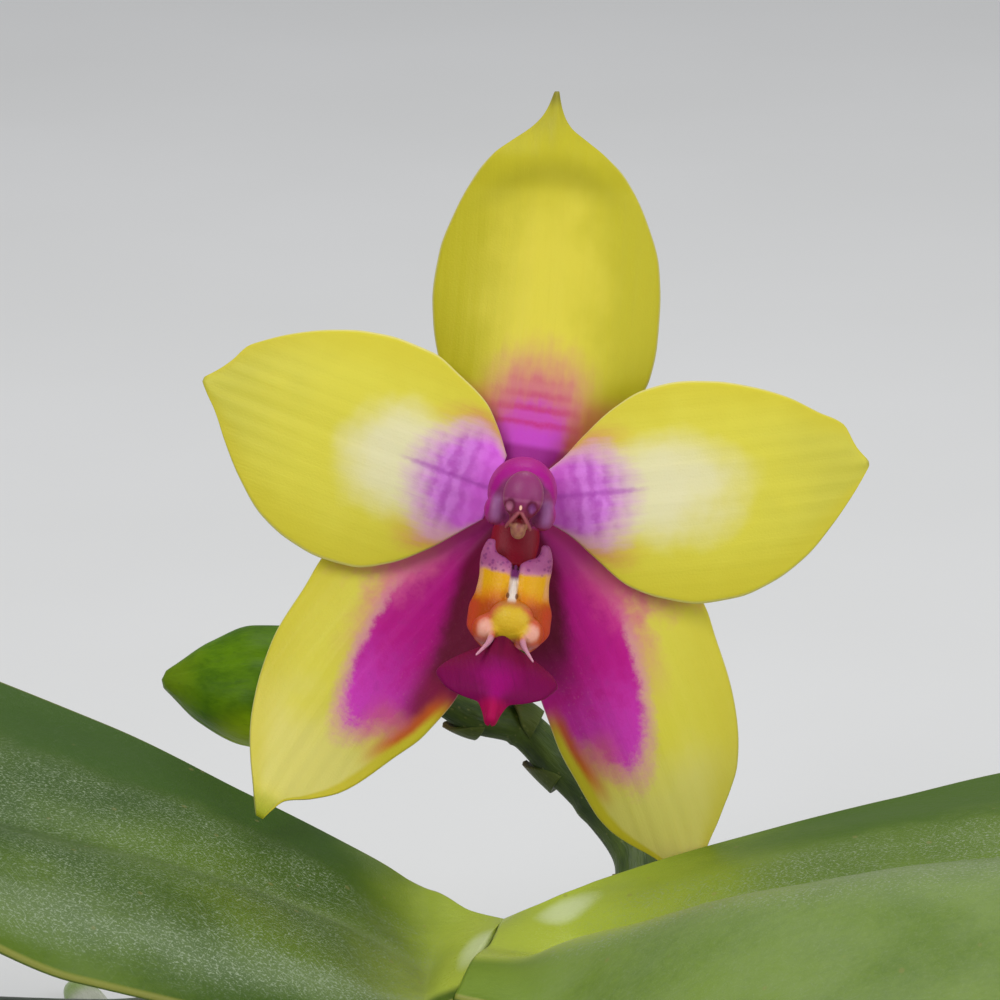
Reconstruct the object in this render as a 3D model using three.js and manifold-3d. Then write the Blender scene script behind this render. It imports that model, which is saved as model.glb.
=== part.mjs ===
// A moth orchid of the short-spiked, star-flowered kind, lifted from its pot and standing on its own roots.
// One open bloom and one bud ride on a short zigzag spike behind two pairs of broad leaves.
// Millimetres, +Z up. The origin is the centre of the stem's flat lower end, on the surface.
// The bloom faces -Y, tipped upwards.
import * as THREE from "three";
import { mergeVertices } from "three/addons/utils/BufferGeometryUtils.js";
import Module from "manifold-3d";

const wasm = await Module();
wasm.setup();

// Driving dimensions
const SEAT_GAP = 0.3; // left between two pieces that grow from or press on each other
const BLOOM_CENTRE = new THREE.Vector3(1.8, 20, 79.6);
const BLOOM_TILT = 18; // degrees that the face of the bloom looks up
const BLOOM_ROLL = 7.2; // degrees that the bloom hangs over to its right, clockwise from the front
const HUB_RADIUS = 2.6; // where sepals, petals and column meet on top of the ovary
const TEPAL_START = 0.085; // share of a tepal's length that the hub takes
const TEPAL_THICKNESS = 1.15;
const MARGIN_THICKNESS = 0.65;
const PETAL_LAYER = 1.75; // the petals' mid-surface stands this far before the sepals'
const PEDICEL_FOOT = [2.2, 42.7, 54]; // where the bloom's stalk stands on the spike
const STEM_RADIUS = 6.5;
const STEM_HEIGHT = 39;
const STEM_FOOT_RADIUS = 5.6;
const LEAF_THICKNESS = 1.9;
const LEAF_BASE_THICKNESS = 2.2;
const SHEATH_THICKNESS = 1.5;
const LEAF_MARGIN_THICKNESS = 0.8;
const ROOT_RADIUS = 2.6;
const ROOT_SIDES = 8;
const PEDICEL_RADIUS = 1.55;
const SPIKE_RADIUS = 2.5;

const radians = THREE.MathUtils.degToRad;
const vector = (x, y, z) => new THREE.Vector3(x, y, z);

// A smooth curve through [t, value] keys that never overshoots them.
function through(keys) {
  const rise = keys.slice(1).map(([t, v], i) => (v - keys[i][1]) / (t - keys[i][0]));
  const slope = keys.map((_, i) => {
    if (i === 0) return rise[0];
    if (i === keys.length - 1) return rise[i - 1];
    const product = rise[i - 1] * rise[i];
    return product <= 0 ? 0 : (2 * product) / (rise[i - 1] + rise[i]);
  });
  return (t) => {
    const last = keys.length - 2;
    let i = keys.findIndex(([key]) => key > t) - 1;
    if (i < 0) i = t <= keys[0][0] ? 0 : last;
    const [t0, v0] = keys[i];
    const [t1, v1] = keys[i + 1];
    const h = t1 - t0;
    const u = THREE.MathUtils.clamp((t - t0) / h, 0, 1);
    const a = u * u * (3 - 2 * u);
    return v0 * (1 - a) + v1 * a + h * u * (1 - u) * (slope[i] * (1 - u) - slope[i + 1] * u);
  };
}

// The smooth path through points, as a function of a share from 0 to 1 that is even from point to point.
function pathThrough(points) {
  const curve = new THREE.CatmullRomCurve3(points.map((p) => vector(...p)), false, "catmullrom", 0.5);
  return (t) => curve.getPoint(t);
}

function tangentOf(path, t) {
  const step = 1e-3;
  return path(Math.min(1, t + step)).sub(path(Math.max(0, t - step))).normalize();
}

function geometryOf(points, faces) {
  const position = new Float32Array(points.flatMap((p) => [p.x, p.y, p.z]));
  return new THREE.BufferGeometry()
    .setAttribute("position", new THREE.BufferAttribute(position, 3))
    .setIndex(faces);
}

// A closed geometry as a solid, turned so that its faces point out.
function solid(geometry) {
  const bare = geometry.clone();
  bare.deleteAttribute("normal");
  bare.deleteAttribute("uv");
  const merged = mergeVertices(bare, 1e-4);
  const triVerts = new Uint32Array(merged.index.array);
  const vertProperties = merged.attributes.position.array;
  const made = new wasm.Manifold(new wasm.Mesh({ numProp: 3, vertProperties, triVerts }));
  if (made.volume() > 0) return made;
  for (let i = 0; i < triVerts.length; i += 3) {
    [triVerts[i + 1], triVerts[i + 2]] = [triVerts[i + 2], triVerts[i + 1]];
  }
  return new wasm.Manifold(new wasm.Mesh({ numProp: 3, vertProperties, triVerts }));
}

// A thin closed solid round the mid-surface place(t, s), with t along it and s from -1 to 1 across.
// Both faces are split into triangles alike.
function blade(place, thickness, rows, columns, start = 0) {
  const share = (i) => start + ((1 - start) * i) / rows;
  const across = (j) => -1 + (2 * j) / columns;
  const middle = (i, j) => place(share(i), across(j));
  const points = [];
  for (const side of [0.5, -0.5]) {
    for (let i = 0; i <= rows; i++) {
      for (let j = 0; j <= columns; j++) {
        const along = middle(Math.min(rows, i + 1), j).sub(middle(Math.max(0, i - 1), j));
        const sideways = middle(i, Math.min(columns, j + 1)).sub(middle(i, Math.max(0, j - 1)));
        const normal = along.cross(sideways).normalize();
        points.push(middle(i, j).addScaledVector(normal, side * thickness(share(i), across(j))));
      }
    }
  }
  const width = columns + 1;
  const under = (rows + 1) * width;
  const faces = [];
  const quad = (a, b, c, d) => faces.push(a, b, c, a, c, d);
  for (let i = 0; i < rows; i++) {
    for (let j = 0; j < columns; j++) {
      const a = i * width + j;
      quad(a, a + width, a + width + 1, a + 1);
      faces.push(under + a, under + a + width + 1, under + a + width);
      faces.push(under + a, under + a + 1, under + a + width + 1);
    }
    const left = i * width;
    quad(left, under + left, under + left + width, left + width);
    const right = left + columns;
    quad(right, right + width, under + right + width, under + right);
  }
  for (let j = 0; j < columns; j++) {
    quad(j, j + 1, under + j + 1, under + j);
    const end = rows * width + j;
    quad(end, under + end, under + end + 1, end + 1);
  }
  return solid(geometryOf(points, faces));
}

// A closed solid whose elliptical section follows path(t). flat(t) and tall(t) are its half-sizes,
// tall along the part of upright that is square to the path, and ripple(angle, t) scales the section.
// With carried, upright turns with the path from its start, so that the path can point anywhere.
function sweep({
  path,
  flat,
  tall = flat,
  upright = vector(0, 0, 1),
  carried = false,
  sides = 8,
  steps,
  ripple = () => 1,
  turn = 0,
}) {
  const points = [];
  for (let i = 0; i <= steps; i++) {
    const t = i / steps;
    const along = tangentOf(path, t);
    const sideways = vector(0, 0, 0).crossVectors(along, upright).normalize();
    if (carried) upright = vector(0, 0, 0).crossVectors(sideways, along);
    const up = vector(0, 0, 0).crossVectors(sideways, along);
    for (let k = 0; k < sides; k++) {
      const angle = turn + (2 * Math.PI * k) / sides;
      const size = ripple(angle, t);
      points.push(
        path(t)
          .addScaledVector(sideways, Math.cos(angle) * flat(t) * size)
          .addScaledVector(up, Math.sin(angle) * tall(t) * size),
      );
    }
  }
  const faces = [];
  for (let i = 0; i < steps; i++) {
    for (let k = 0; k < sides; k++) {
      const a = i * sides + k;
      const b = i * sides + ((k + 1) % sides);
      faces.push(a, b, b + sides, a, b + sides, a + sides);
    }
  }
  const ends = points.length;
  points.push(path(0), path(1));
  for (let k = 0; k < sides; k++) {
    const next = (k + 1) % sides;
    faces.push(ends, next, k);
    faces.push(ends + 1, steps * sides + k, steps * sides + next);
  }
  return solid(geometryOf(points, faces));
}

function ellipsoid(centre, radii, rings = 6, sides = 10) {
  const ball = new THREE.SphereGeometry(1, sides, rings);
  ball.scale(...radii);
  ball.translate(...centre);
  return solid(ball);
}

const join = (solids) => solids.reduce((whole, one) => whole.add(one));

const group = new THREE.Group();
const bloom = new THREE.Group();
bloom.position.copy(BLOOM_CENTRE);
bloom.rotation.set(radians(90 - BLOOM_TILT), 0, radians(-BLOOM_ROLL));
group.add(bloom);

function material(color, roughness = 0.55) {
  return new THREE.MeshStandardMaterial({ color, roughness, metalness: 0 });
}

const YELLOW = material(0xd6cc38);
const YELLOW_MAGENTA = material(0xc8903f);
const ORANGE = material(0xe59a1c);
const MAGENTA = material(0x8f1263);
const MAUVE = material(0x9a3f86);
const CREAM = material(0xd9b7c4);
const BUD_GREEN = material(0x5f9216);
const SPIKE_GREEN = material(0x54761f);
const LEAF_GREEN = material(0x4d7a1f, 0.4);
const STEM_GREEN = material(0x7f8a4a, 0.7);
const ROOT_SILVER = material(0xb9bba4, 0.8);

function add(parent, name, made, look) {
  const { vertProperties, triVerts } = made.getMesh();
  const geometry = new THREE.BufferGeometry()
    .setAttribute("position", new THREE.BufferAttribute(new Float32Array(vertProperties), 3))
    .setIndex(new THREE.BufferAttribute(new Uint32Array(triVerts), 1));
  geometry.computeVertexNormals();
  const mesh = new THREE.Mesh(geometry, look);
  mesh.name = name;
  parent.add(mesh);
}

// The bloom, in its own frame: x to the right, y up its face, z out of the face towards the viewer.

// One sepal or petal. Its midline bends from the centre past `bend` to `tip`. Each key of its outline is
// [share of its length, half-width to the right, half-width to the left], looking out from the centre, in
// shares of halfWidth. Depth keys give its height, and its margins fall back from the midline by `reflex`.
function tepalSurface({ bend, tip, halfWidth, outline, depth, reflex, lean = 0 }) {
  const [rightWidth, leftWidth] = [1, 2].map((k) => through(outline.map((key) => [key[0], key[k]])));
  const height = through(depth);
  const fall = through(reflex);
  const line = new THREE.QuadraticBezierCurve(
    new THREE.Vector2(0, 0),
    new THREE.Vector2(...bend),
    new THREE.Vector2(...tip),
  );
  return (t, s) => {
    const at = line.getPoint(t);
    const along = line.getTangent(t);
    const width = s > 0 ? leftWidth(t) : rightWidth(t);
    const reach = s * halfWidth * width;
    return vector(
      at.x - along.y * reach,
      at.y + along.x * reach,
      height(t) - fall(t) * s * s * width + lean * s * width,
    );
  };
}

const tepalThickness = (t, s) => {
  const middle = TEPAL_THICKNESS - 0.25 * t;
  return THREE.MathUtils.lerp(middle, MARGIN_THICKNESS, s * s);
};

const DORSAL_OUTLINE = [
  [0.08, 0.2, 0.2], [0.2, 0.66, 0.66], [0.34, 0.97, 0.91], [0.42, 1, 0.98], [0.5, 0.995, 1.01],
  [0.6, 0.955, 0.98], [0.7, 0.825, 0.87], [0.8, 0.615, 0.69], [0.85, 0.42, 0.54], [0.88, 0.27, 0.39],
  [0.91, 0.13, 0.23], [0.94, 0.065, 0.12], [0.97, 0.035, 0.06], [1, 0.02, 0.02],
];
// Each petal has a small corner on its upper margin, just before the tip.
const PETAL_OUTLINE = {
  left: [
    [0.08, 0.3, 0.25], [0.14, 0.52, 0.45], [0.2, 0.685, 0.65], [0.3, 0.82, 0.9], [0.4, 0.92, 1.04],
    [0.5, 0.93, 1.065], [0.6, 0.89, 1.02], [0.7, 0.795, 0.905], [0.8, 0.65, 0.67], [0.88, 0.49, 0.415],
    [0.915, 0.4, 0.285], [0.94, 0.25, 0.2], [0.97, 0.12, 0.115], [1, 0.02, 0.02],
  ],
  right: [
    [0.08, 0.22, 0.22], [0.14, 0.35, 0.34], [0.2, 0.54, 0.5], [0.3, 0.845, 0.73], [0.4, 0.985, 0.87],
    [0.5, 1.055, 0.91], [0.6, 1.035, 0.88], [0.7, 0.935, 0.8], [0.8, 0.745, 0.67], [0.88, 0.5, 0.505],
    [0.945, 0.26, 0.37], [0.97, 0.155, 0.165], [1, 0.02, 0.02],
  ],
};
const LATERAL_OUTLINE = {
  left: [
    [0.08, 0.36, 0.17], [0.2, 0.68, 0.5], [0.33, 1.08, 0.87], [0.42, 1.06, 0.96], [0.5, 1, 1],
    [0.6, 0.955, 0.975], [0.7, 0.84, 0.85], [0.8, 0.66, 0.7], [0.85, 0.535, 0.58], [0.9, 0.38, 0.36],
    [0.94, 0.245, 0.125], [0.97, 0.15, 0.07], [1, 0.05, 0.03],
  ],
  right: [
    [0.08, 0.17, 0.17], [0.2, 0.5, 0.6], [0.33, 0.77, 1.1], [0.42, 0.85, 1.14], [0.49, 0.88, 1.1],
    [0.585, 0.905, 1.055], [0.675, 0.86, 0.97], [0.765, 0.79, 0.81], [0.81, 0.71, 0.66], [0.84, 0.62, 0.54],
    [0.87, 0.5, 0.425], [0.9, 0.365, 0.3], [0.93, 0.25, 0.19], [0.96, 0.14, 0.12], [1, 0.03, 0.03],
  ],
};

// The left lateral sepal leans forward over its leaf's margin, and the right one passes behind its leaf's.
const LATERAL_DEPTH = {
  left: [[0, 0], [0.3, -0.5], [0.7, 0.4], [0.9, 2.2], [1, 3.4]],
  right: [[0, 0], [0.3, -0.7], [0.7, -2.6], [0.9, -5], [1, -6.4]],
};

const mirrored = (side, [x, y]) => [side * x, y];

const TEPALS = {
  dorsal_sepal: {
    bend: [1.05, 18], tip: [-1.3, 37], halfWidth: 10.3, outline: DORSAL_OUTLINE,
    depth: [[0, 0], [0.3, -0.5], [0.6, -0.9], [0.76, -0.8], [0.85, 0], [0.92, -0.3], [1, -1.4]],
    reflex: [[0, 0.5], [0.3, 3], [0.6, 2.6], [0.85, 1], [1, 0]],
  },
  ...Object.fromEntries([["left", -1], ["right", 1]].flatMap(([hand, side]) => [
    [`petal_${hand}`, {
      bend: mirrored(side, [14.5, side < 0 ? 3.4 : 3]), tip: mirrored(side, [side < 0 ? 29.6 : 30.7, 7.2]),
      halfWidth: side < 0 ? 10.5 : 10.2, outline: PETAL_OUTLINE[hand],
      depth: [[0, PETAL_LAYER], [0.25, PETAL_LAYER + 0.5], [0.6, PETAL_LAYER + 0.5], [1, PETAL_LAYER - 0.9]],
      reflex: [[0, 0], [0.3, 0.9], [0.6, 1.1], [1, 0]],
    }],
    [`lateral_sepal_${hand}`, {
      bend: mirrored(side, [12.6, -14.2]), tip: mirrored(side, side < 0 ? [19.5, -31.1] : [20.3, -33]),
      halfWidth: 8.5, outline: LATERAL_OUTLINE[hand], lean: side * 0.5, depth: LATERAL_DEPTH[hand],
      reflex: [[0, 0.4], [0.3, 2.4], [0.7, 2], [1, 0]],
    }],
  ])),
};

// The hub with a clear ring round it, which every tepal is trimmed by.
const HUB_LENGTH = 12;
const clearRing = new THREE.CylinderGeometry(HUB_RADIUS + SEAT_GAP, HUB_RADIUS + SEAT_GAP, HUB_LENGTH, 24);
const hubClearance = solid(clearRing.rotateX(Math.PI / 2));

for (const [name, shape] of Object.entries(TEPALS)) {
  const made = blade(tepalSurface(shape), tepalThickness, 14, 8, TEPAL_START).subtract(hubClearance);
  add(bloom, name, made, name.startsWith("lateral") ? YELLOW_MAGENTA : YELLOW);
}

// The column stands out of the hub, widens to its winged end, and sends its foot down to the lip.
const COLUMN_BASE = 2.3;
const COLUMN_LENGTH = 9.2;
function column() {
  const height = through([[0, 0], [0.5, 0.8], [0.8, 0.6], [1, 0.3]]);
  const body = sweep({
    path: (t) => vector(0.1, height(t), COLUMN_BASE + COLUMN_LENGTH * t),
    flat: through([[0, 2.2], [0.4, 2.5], [0.75, 3.1], [0.9, 2.9], [1, 1.9]]),
    tall: through([[0, 2.1], [0.4, 2.7], [0.75, 3.2], [0.9, 2.7], [1, 1.7]]),
    upright: vector(0, 1, 0),
    sides: 12,
    steps: 8,
  });
  const foot = sweep({
    path: pathThrough([[0, -0.5, 4.6], [0, -2.6, 4.2], [0, -4.6, 4.5], [0, -6.2, 5.4]]),
    flat: through([[0, 1.6], [0.5, 2.2], [1, 1.7]]),
    tall: through([[0, 0.9], [0.5, 1.1], [1, 0.8]]),
    upright: vector(0, 0.3, 1),
    sides: 8,
    steps: 4,
  });
  const wings = [-1, 1].map((side) => ellipsoid([0.1 + side * 2.1, -1.1, 10.4], [1.1, 1.4, 1.2], 5, 8));
  return join([body, foot, ...wings]);
}

// The cap over the pollen, with a small beak under it.
function antherCap() {
  const dome = ellipsoid([0.2, 0.4, 13.1], [1.8, 2.2, 1.2], 6, 12);
  const beak = sweep({
    path: pathThrough([[0.1, -1, 13.2], [0.1, -2.3, 13.3], [0.15, -3.5, 13]]),
    flat: through([[0, 0.9], [0.6, 0.75], [1, 0.45]]),
    upright: vector(0, 0, 1),
    sides: 6,
    steps: 3,
  });
  return join([dome, beak]);
}

add(bloom, "column", column(), MAUVE);
add(bloom, "anther_cap", antherCap(), CREAM);

// The lip's side lobes and callus stand a little to the right of the column.
const LIP_AXIS = 0.35;

// Each side lobe of the lip is an upright pillar that ends in a horn and swells out round the callus below.
// Its keys are [height on the bloom's face, distance from the lip's axis].
const LOBE_OUTER = [
  [-13.2, 1.8], [-12.6, 2.7], [-11.4, 3.6], [-10, 3.6], [-8.5, 3.15], [-7, 3], [-5.8, 3.1], [-4.8, 2.95],
  [-3.7, 2.5],
];
const LOBE_INNER = [
  [-13.2, 0.8], [-11, 0.3], [-6.6, 0.3], [-5.8, 0.35], [-5.5, 0.85], [-5.2, 1.6], [-4.4, 2.1], [-3.7, 2.2],
];
function sideLobe(side) {
  const outer = through(LOBE_OUTER);
  const inner = through(LOBE_INNER);
  const place = (t, s) => {
    const y = THREE.MathUtils.lerp(LOBE_OUTER[0][0], LOBE_OUTER.at(-1)[0], t);
    const x = THREE.MathUtils.lerp(inner(y), outer(y), 0.5 + 0.5 * s);
    return vector(LIP_AXIS + side * x, y, 9.1 - 0.16 * x * x - 0.12 * (y + 10) - 0.3 * s * s);
  };
  return blade(place, () => 1.1, 12, 4);
}

// The middle callus with its two shoulders, grown by `extra`.
const callus = (extra = 0) => [
  [[-1.85, -11.7, 9.4], [1.4, 1.35, 1.4]],
  [[1.85, -11.7, 9.4], [1.4, 1.35, 1.4]],
  [[0.15, -10.4, 9.8], [1.8, 1.7, 1.4]],
].map(([[x, y, z], radii]) => ellipsoid([LIP_AXIS + x, y, z], radii.map((radius) => radius + extra)));

// The pair of thin feelers in front of the callus.
function feelers() {
  return [-1, 1].map((side) => sweep({
    path: pathThrough([
      [LIP_AXIS + side * 1.7, -11.6, 10.3],
      [LIP_AXIS + side * 1.85, -12.4, 12.1],
      [LIP_AXIS + side * 2.1, -13.2, 13.9],
      [LIP_AXIS + side * 2.6, -14, 15.2],
    ]),
    flat: through([[0, 0.45], [0.6, 0.32], [1, 0.28]]),
    sides: 5,
    steps: 4,
  }));
}

function lipBase() {
  const claw = sweep({
    path: pathThrough([[0, -6.8, 5.9], [0, -8.6, 7.1], [0, -10.4, 8.1], [0, -11.6, 8.6]]),
    flat: through([[0, 1.5], [0.5, 2.6], [1, 2]]),
    tall: through([[0, 0.7], [0.5, 1.3], [1, 1]]),
    sides: 8,
    steps: 4,
  });
  return join([claw, sideLobe(-1), sideLobe(1), ...callus(), ...feelers()]);
}

// The middle lobe slopes out and down: a rhombus with a raised keel and a small knob at its tip.
const MIDLOBE_START = [0, -12.4, 10.4];
const MIDLOBE_TIP = [-0.2, -20.1, 16.2];
const MIDLOBE_OUTLINE = [
  [0, 0.12], [0.1, 0.18], [0.2, 0.43], [0.29, 0.68], [0.39, 0.89], [0.46, 0.96], [0.54, 0.89], [0.63, 0.76],
  [0.7, 0.53], [0.75, 0.28], [0.82, 0.19], [0.9, 0.12], [1, 0.06],
];
const MIDLOBE_HALF_WIDTH = 5.6;
function midlobe() {
  const width = through(MIDLOBE_OUTLINE);
  const start = vector(...MIDLOBE_START);
  const run = vector(...MIDLOBE_TIP).sub(start);
  const face = vector(0, -run.z, run.y).normalize().negate();
  const place = (t, s) => {
    const arch = 0.9 * Math.sin(Math.PI * t);
    const keel = 0.5 * (1 - Math.abs(s)) - 1.1 * s * s * width(t);
    return start.clone()
      .addScaledVector(run, t)
      .addScaledVector(face, arch + keel)
      .add(vector(s * MIDLOBE_HALF_WIDTH * width(t), 0, 0));
  };
  const whole = blade(place, (t, s) => THREE.MathUtils.lerp(1.1, 0.65, Math.abs(s)), 18, 6);
  return whole.subtract(join(callus(SEAT_GAP + 0.15)));
}

add(bloom, "lip_base", lipBase(), ORANGE);
add(bloom, "lip_midlobe", midlobe(), MAGENTA);

// The stalk of the bloom: hub, ribbed ovary and slim pedicel, down to the spike.
const bloomPoint = (x, y, z) => vector(x, y, z).applyEuler(bloom.rotation).add(BLOOM_CENTRE);
function bloomStalk() {
  const ribs = 6;
  const radius = through([
    [0, 2.3], [0.08, HUB_RADIUS], [0.2, 2.1], [0.5, 2], [0.75, PEDICEL_RADIUS], [1, PEDICEL_RADIUS + 0.2],
  ]);
  const points = [
    ...[1.6, -2.5, -7].map((z) => bloomPoint(0, 0, z).toArray()),
    [2.4, 33.4, 72.6], [3.2, 39, 65.5], PEDICEL_FOOT,
  ];
  return sweep({
    path: pathThrough(points),
    flat: radius,
    upright: vector(1, 0, 0),
    sides: 12,
    steps: 14,
    ripple: (angle, t) => 1 + 0.06 * Math.sin(Math.PI * t) * Math.cos(ribs * (angle + 1.2 * t)),
  });
}

add(group, "bloom_stalk", bloomStalk(), SPIKE_GREEN);

// The spike rises out of the gap between the sheaths at the back of the stem and zigzags from node to node.
const SPIKE_PATH = [
  [0.3, 10.7, 19], [0.4, 10.8, 25], [3, 13.8, 30], [8, 20.4, 33.2], [12, 27, 36], [12.9, 33.4, 39.6],
  [9.2, 38.6, 43.4], [5.6, 41, 46.4], [1.9, 42.6, 49.6], [-2.6, 41.6, 51.2], [-7, 41.2, 54],
];
// The spike's length, and its bracts: each has its share of that length, its side and its own length.
const SPIKE_LENGTH = 65;
const BRACTS = [[0.4, -1, 5], [0.6, 1, 5.2], [0.7, -1, 5], [0.8, 1, 4.6], [0.9, -1, 4.2]];
function spike() {
  const path = pathThrough(SPIKE_PATH);
  const radius = through([[0, SPIKE_RADIUS + 0.4], [0.1, SPIKE_RADIUS], [0.6, 2.2], [0.95, 1.8], [1, 1.1]]);
  const axis = sweep({
    path,
    flat: radius,
    tall: (t) => 0.82 * radius(t),
    upright: vector(0, -1, 0),
    carried: true,
    sides: 8,
    steps: 24,
  });
  const bracts = BRACTS.map(([t, side, length]) => {
    const along = tangentOf(path, t);
    const out = vector(0, 0, 0).crossVectors(along, vector(0, -1, 0)).normalize().multiplyScalar(side);
    const points = [0, 0.4, 0.75, 1].map((u) => path(t + (length / SPIKE_LENGTH) * (u - 0.35))
      .addScaledVector(out, radius(t) * (0.35 + 0.68 * u ** 1.4)).toArray());
    return sweep({
      path: pathThrough(points),
      flat: through([[0, 1.2], [0.35, 2], [0.8, 1], [1, 0.35]]),
      tall: through([[0, 0.8], [0.5, 0.7], [1, 0.35]]),
      upright: out,
      sides: 6,
      steps: 4,
    });
  });
  return join([axis, ...bracts]);
}

add(group, "flower_spike", spike(), SPIKE_GREEN);

// The unopened bud at the spike's end: three closed sepals with keeled tips, on a short stalk.
const BUD_FOOT = [-7.7, 41.1, 54.5];
const BUD_SHARE = 0.3; // where the stalk widens into the bud
function bud() {
  const path = pathThrough([
    BUD_FOOT, [-10.2, 40.8, 54.9], [-13.5, 40.4, 54.3], [-19, 40, 54], [-25.3, 39.3, 54.6],
    [-31.9, 38.4, 55.8],
  ]);
  const radius = through([
    [0, 1.7], [BUD_SHARE, 1.9], [0.4, 3.8], [0.6, 6], [0.75, 5.7], [0.88, 3.8], [0.97, 1.4], [1, 0.6],
  ]);
  const seams = 3;
  const swell = (t) => THREE.MathUtils.smoothstep(t, 0.4, 0.85);
  return sweep({
    path,
    flat: radius,
    sides: 12,
    steps: 14,
    upright: vector(0, 1, 0),
    ripple: (angle, t) => 1 + 0.09 * swell(t) * Math.cos(seams * (angle - 0.6)),
  });
}

add(group, "bud", bud(), BUD_GREEN);

// Leaves. Each has a sheath that clasps the stem and a broad blade, in an upright plane through the stem.
// A blade's stations are rows of [out, up, back half, front half], and each half is [width, edge, crest]:
// how far it reaches from the midrib, how far its margin stands above the midrib, and how high it arches
// between them. The back is the side away from the bloom's face.
const evenly = (values) => through(values.map((v, i) => [i / (values.length - 1), v]));

// The near end is cut along a seam that `skew` and `bow` slant and curve.
function bladeSurface({ heading, stations, skew, bow, wave }) {
  const turn = radians(heading);
  const outwards = vector(Math.cos(turn), Math.sin(turn), 0);
  const aside = vector(-outwards.y, outwards.x, 0);
  const frontSign = aside.y < 0 ? 1 : -1;
  const line = pathThrough(stations.map(([out, up]) => [out * outwards.x, out * outwards.y, up]));
  const profile = (half) => [0, 1, 2].map((k) => evenly(stations.map((station) => station[half][k])));
  const back = profile(2);
  const front = profile(3);
  return (t, s) => {
    const [width, edge, crest] = (s * frontSign > 0 ? front : back).map((value) => value(t));
    const reach = Math.abs(s);
    const arch = 16 * crest * reach ** 2 * (1 - reach) ** 2;
    const ruffle = wave * Math.sin(19 * t + (s > 0 ? 1.3 : 4)) * THREE.MathUtils.smoothstep(t, 0.45, 0.6);
    const slant = (skew * s + bow * s * s) * Math.max(0, 1 - 5 * t);
    return line(t)
      .addScaledVector(aside, s * width)
      .addScaledVector(outwards, slant)
      .add(vector(0, 0, (edge + ruffle) * s * s + arch));
  };
}

const bladeThickness = (t, s) => {
  const grown = THREE.MathUtils.smoothstep(t, 0.05, 0.3);
  const middle = THREE.MathUtils.lerp(LEAF_BASE_THICKNESS, LEAF_THICKNESS, grown);
  return THREE.MathUtils.lerp(middle, LEAF_MARGIN_THICKNESS, Math.abs(s) ** 3);
};

// The sheath: a wall round the stem that reaches `wrap` degrees to each side of the leaf's heading.
// Its upper rim rises from `rim` to `corner` at the two ends.
function sheathWall({ heading, radius, wrap, foot, rim, corner }) {
  const place = (t, s) => {
    const angle = radians(s * wrap);
    const top = rim + (corner - rim) * Math.sin(angle) ** 2;
    const bulge = radius + 0.5 * Math.sin(Math.PI * t);
    const turn = radians(heading) + angle;
    return vector(bulge * Math.cos(turn), bulge * Math.sin(turn), THREE.MathUtils.lerp(foot, top, t));
  };
  return blade(place, (t, s) => THREE.MathUtils.lerp(SHEATH_THICKNESS, 0.8, s ** 4), 4, 12);
}

const UPPER_SHEATH = { radius: 7.5, wrap: 84, foot: 21, rim: 41.6, corner: 43.15 };
// The seam between the two upper blades over the stem: its place to the left of the stem's axis, its gap,
// and the slant and bow that let the right blade's front half lie before the left one's.
const SEAM_SHIFT = 1.2;
const SEAM_GAP = 1.1;
const SEAM_SKEW = 2.2;
const SEAM_BOW = 0.6;

// The upper blades meet over the stem along a seam, and the lower blades start at the sheaths inside them.
const UPPER_LEAVES = {
  leaf_upper_left: {
    heading: 180,
    skew: SEAM_SKEW,
    bow: SEAM_BOW,
    wave: 1.2,
    stations: [
      [SEAM_SHIFT + SEAM_GAP / 2, 43.6, [7.8, 0, 0], [10.8, 0, 0]],
      [3.8, 42.6, [8.8, 1.6, 0], [11.2, 0.6, 0]],
      [6.4, 41.6, [10.4, 4, 0], [12.6, 1.2, 0]],
      [10, 43.2, [12.4, 3.8, 0], [14.8, 0.6, 0]],
      [15, 46.3, [15, 2.5, 0.3], [17.5, -1.4, 0.8]],
      [23, 49.8, [18.6, 1.8, 0.6], [20.5, -3.4, 1.4]],
      [36, 54, [22.6, 2.9, 0.8], [22.4, -3.4, 2]],
      [52, 57.4, [27, 3.7, 1], [22.4, 0.6, 2.2]],
      [70, 59.4, [31, 4.6, 1.2], [25, 0.8, 2.2]],
      [90, 59, [33.5, 3.5, 1.5], [27.5, 0.5, 2]],
      [110, 55.4, [33, 2, 1.5], [28.5, -0.5, 1.8]],
      [128, 49, [28, 1, 1.2], [25, -1, 1.4]],
      [144, 39.8, [18.5, 0.5, 0.6], [17.5, -0.8, 0.8]],
      [157, 29.5, [1.2, 0, 0], [1.2, 0, 0]],
    ],
  },
  leaf_upper_right: {
    heading: 0,
    skew: SEAM_SKEW,
    bow: -SEAM_BOW,
    wave: 1.1,
    stations: [
      [SEAM_GAP / 2 - SEAM_SHIFT, 43.6, [7.8, 0, 0], [10.8, 0.5, 0.7]],
      [2.4, 42.9, [8.8, 1.8, 0.3], [12.6, 0.8, 1.6]],
      [6, 42.6, [10.2, 3, 0.5], [16, 0.6, 3.8]],
      [10.5, 44.2, [11.8, 2.3, 0.6], [20, 0, 4.9]],
      [16.5, 46, [13.8, 1.7, 0.6], [24, -0.5, 5.9]],
      [25, 47.6, [16.8, 1.4, 0.8], [27.5, -1.5, 7]],
      [36, 49.2, [20.2, 1.4, 1], [31, -2.5, 8]],
      [50, 50.6, [25, 2, 1.2], [33.5, -3.5, 8]],
      [68, 51.2, [29.5, 1.5, 1.6], [34.5, -4, 6.5]],
      [88, 49.8, [32, 0, 1.8], [34, -4.5, 4.8]],
      [107, 45.4, [31, -1.5, 1.6], [31.5, -4, 3.4]],
      [124, 38.6, [26, -1.5, 1.2], [26, -3, 2]],
      [139, 29.6, [17, -1, 0.6], [17, -1.5, 0.8]],
      [151, 20, [1.2, 0, 0], [1.2, 0, 0]],
    ],
  },
};

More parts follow.
